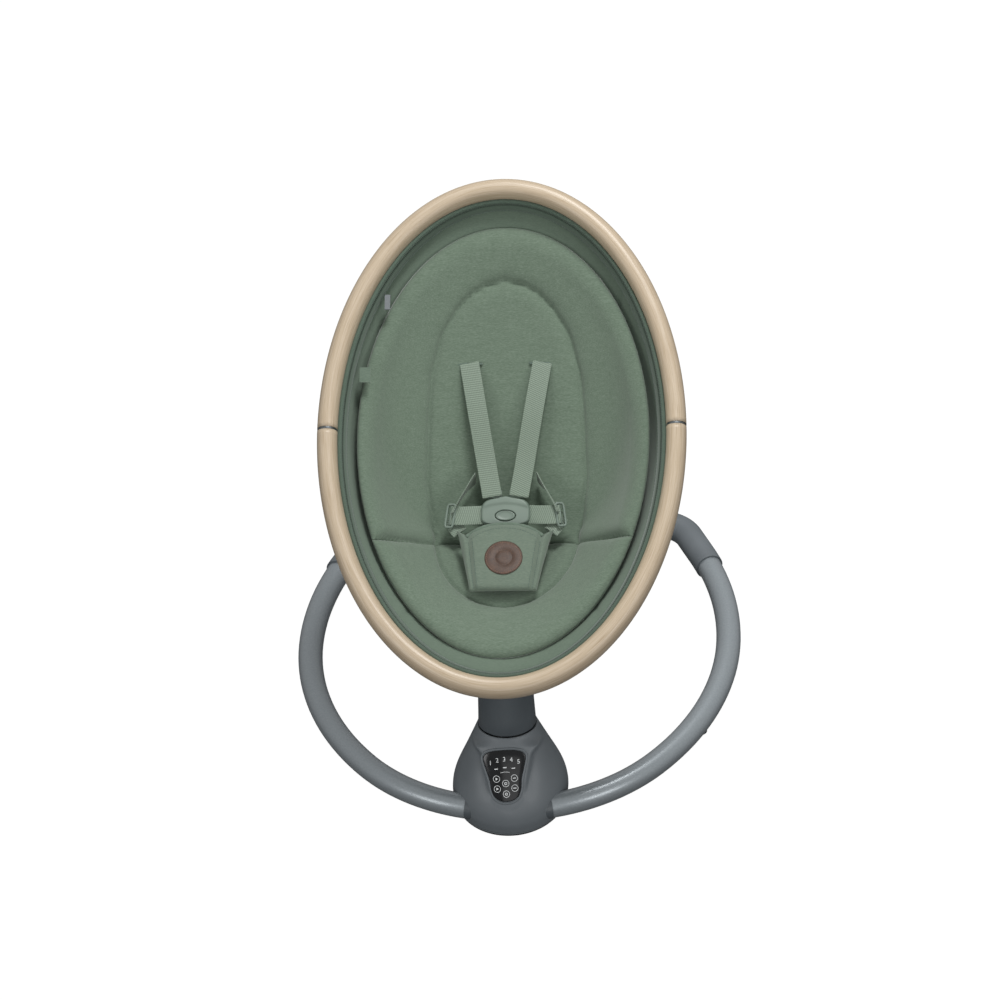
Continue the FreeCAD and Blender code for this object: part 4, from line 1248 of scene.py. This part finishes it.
def panel_outline(count):
    """The touch panel's shield outline, as (x, rise) round its middle."""
    half = [(0, 32.5), (13, 32), (23, 29.5), (27.5, 24.5), (27.5, 18), (24.5, 7), (21.2, -5), (19.6, -17),
            (15.5, -26.5),
            (8, -31.8), (0, -33)]
    loop = half + [(-x, y) for x, y in reversed(half[1:-1])]
    return panel_turn(smooth_path(loop + loop[:1], count + 1)[:-1])


def make_panel():
    """The gloss touch panel, its moulded lip and the printed marks."""
    outline = panel_outline(160)
    outline = outline + (-1.6, 4.6)
    rows = []
    for scale, lift in ((0.97, -2.2), (0.975, 0.1), (0.965, 0.45), (0.94, 0.6), (0.7, 0.6), (0.4, 0.6),
                        (0.1, 0.6)):
        ring = outline.mean(axis=0) + (outline - outline.mean(axis=0)) * scale
        rows.append(front_spot(ring[:, 0], PANEL_RISE + ring[:, 1], lift))
    rows = np.array(rows)
    sides = rows.shape[1]
    verts = list(hub_to_row(rows))
    faces = strip_faces(len(rows), sides, wrap_cols=True)
    for first in (0, len(rows) - 1):
        verts.append(hub_to_row(rows[first].mean(axis=0))[0])
        faces += [(first * sides + c, first * sides + (c + 1) % sides,
                   len(verts) - 1) for c in range(sides)]
    glass = outward(piece("control_glass", verts, faces, GLASS))
    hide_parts("control_panel")
    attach(glass, "base")
    ring = outline.mean(axis=0) + (outline - outline.mean(axis=0)) * 1.03
    path = hub_to_row(front_spot(ring[:, 0], PANEL_RISE + ring[:, 1], 0.1))
    out = Vector(FRONT_OUT)
    lip = sweep("panel_lip", [Vector(v) for v in path], [out] * sides, oval_section(1.5, 1.5, 14),
                GREY_ABS,
                closed=True)
    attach(lip, "base")
    make_marks()


def flat_mark(name, points, lift=0.75):
    """A small printed polygon on the panel; points are (x, y) from the panel's middle."""
    xs, ys = np.array([p[0] for p in points]), np.array([p[1] for p in points])
    spots = printed_spot(xs, ys, lift)
    lower = printed_spot(xs, ys, lift - 0.12)
    count = len(points)
    faces = [tuple(range(count)), tuple(range(2 * count - 1, count - 1, -1))]
    faces += [(k, (k + 1) % count, (k + 1) % count + count, k + count) for k in range(count)]
    mark = outward(piece(name, list(hub_to_row(np.vstack([spots, lower]))), faces, INK, smooth=False))
    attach(mark, "base")


def ring_mark(name, x, y, radius, width, start=0.0, end=360.0):
    """A printed ring or arc on the panel."""
    turns = np.radians(np.linspace(start, end, 41))
    spots = [hub_to_row(printed_spot(x + r * np.cos(turns), y + r * np.sin(turns), lift))
             for r, lift in ((radius - width / 2, 0.75), (radius + width / 2, 0.75),
                             (radius + width / 2, 0.63),
                             (radius - width / 2, 0.63))]
    verts = [spots[k][i] for i in range(41) for k in range(4)]
    faces = strip_faces(41, 4, wrap_cols=True)
    faces += [(0, 1, 2, 3), (163, 162, 161, 160)]
    mark = outward(piece(name, verts, faces, INK, smooth=False))
    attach(mark, "base")


def printed_digit(digit, x, y, height):
    """One digit as a thin mesh on the panel, from the built-in font."""
    curve = bpy.data.curves.new(f"digit_{digit}", "FONT")
    curve.body = str(digit)
    curve.size = height * 1.4
    curve.align_x = "CENTER"
    curve.align_y = "CENTER"
    curve.extrude = 0.06
    carrier = bpy.data.objects.new(f"digit_{digit}_text", curve)
    bpy.context.scene.collection.objects.link(carrier)
    bpy.context.view_layer.update()
    mesh = bpy.data.meshes.new_from_object(carrier.evaluated_get(bpy.context.evaluated_depsgraph_get()))
    bpy.data.objects.remove(carrier, do_unlink=True)
    verts = np.array([v.co[:] for v in mesh.vertices])
    spots = printed_spot(x + verts[:, 0], y + verts[:, 1], 0.7)
    spots += verts[:, 2:3] * FRONT_OUT
    for vert, spot in zip(mesh.vertices, hub_to_row(spots)):
        vert.co = spot
    mesh.materials.clear()
    mesh.materials.append(INK)
    mark = bpy.data.objects.new(f"digit_{digit}", mesh)
    bpy.context.scene.collection.objects.link(mark)
    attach(mark, "base")


def make_marks():
    """Generic printing: five speed digits, three timer dashes and six ringed key symbols."""
    for digit in range(1, 6):
        x = (digit - 3) * 9.0
        printed_digit(digit, x, 20.5 - 0.012 * x ** 2, 5.6)
    for index, x in enumerate((-11, 0, 11)):
        y = 10.5 - 0.012 * x ** 2
        flat_mark(f"timer_dash_{index}",
                  [(x - 2.2, y - 0.6), (x + 2.2, y - 0.6), (x + 2.2, y + 0.6), (x - 2.2, y + 0.6)])
    ring_mark("timer_arc", 0, -14, 19.0, 0.5, 72, 108)
    keys = [(-11.4, -3.2), (11.4, -3.2), (0, -9.2), (-11.2, -15.6), (11.2, -15.6), (0, -22.4)]
    for index, (x, y) in enumerate(keys):
        ring_mark(f"key_ring_{index}", x, y, 4.1, 0.55)
        if index % 3 == 0:
            flat_mark(f"key_sign_{index}", [(x - 1.2, y - 1.8), (x + 1.9, y), (x - 1.2, y + 1.8)])
        elif index % 3 == 1:
            flat_mark(f"key_sign_{index}",
                      [(x - 2, y - 0.5), (x + 2, y - 0.5), (x + 2, y + 0.5), (x - 2, y + 0.5)])
        else:
            ring_mark(f"key_sign_{index}", x, y, 1.4, 0.8)


def make_neck():
    """The neck's shell, turned round the swing axis, with a shadow gap at the seam."""
    sides = 128
    turns = np.linspace(0, 2 * math.pi, sides, endpoint=False)
    rows = []
    for level, radius in ((1.2, 33.5), (1.2, 35.4), (1.6, 36.3), (2.6, 36.9), (20, 36.2), (40, 35.5),
                          (60, 34.8),
                          (78, 34.1), (80.8, 33.6), (82.0, 32.0), (82.0, 20.0), (78.5, 20.0), (78.5, 30.8),
                          (40, 32.4)):
        rows.append(np.stack([radius * np.cos(turns),
                              SEAM_BACK + radius * np.sin(turns) * math.cos(LEAN) + level * math.sin(LEAN),
                              SEAM_RISE - radius * np.sin(turns) * math.sin(LEAN)
                              + level * math.cos(LEAN)], axis=1))
    rows = np.array(rows)
    faces = strip_faces(len(rows), sides, wrap_rows=True, wrap_cols=True)
    neck = outward(piece("neck_cover", list(hub_to_row(rows)), faces, NECK_ABS))
    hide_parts("neck_shell")
    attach(neck, "swing_arm")


make_hub()
make_panel()
make_neck()

# ---------------------------------------------------------------- dark rings of painted shade at the tube sockets
def make_seals():
    """Dark rings of neck plastic where each base tube enters the hub, in place of its hidden socket, as
    painted shade for the gap there.
    """
    for side in ("left", "right"):
        node = frame["nodes"][f"tube_socket_{side}"]
        spots = np.array([node.matrix_world @ v.co for v in node.data.vertices])
        middle = (spots.min(axis=0) + spots.max(axis=0)) / 2
        axis = np.linalg.svd(spots - spots.mean(axis=0), full_matrices=False)[2][2]
        along = (spots - middle) @ axis
        around = spots - middle - along[:, None] * axis
        radius = np.linalg.norm(around, axis=1, keepdims=True)
        spots = middle + along[:, None] * axis + around / radius * np.minimum(radius, 16.4 * MM)
        faces = [tuple(face.vertices) for face in node.data.polygons]
        # The dark neck plastic of each ring is painted shade for the gap between hub and tube.
        gap_shade_ring = piece(f"tube_seal_{side}", list(spots), faces, NECK_ABS)
        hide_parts(f"tube_socket_{side}")
        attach(gap_shade_ring, "base")


make_seals()
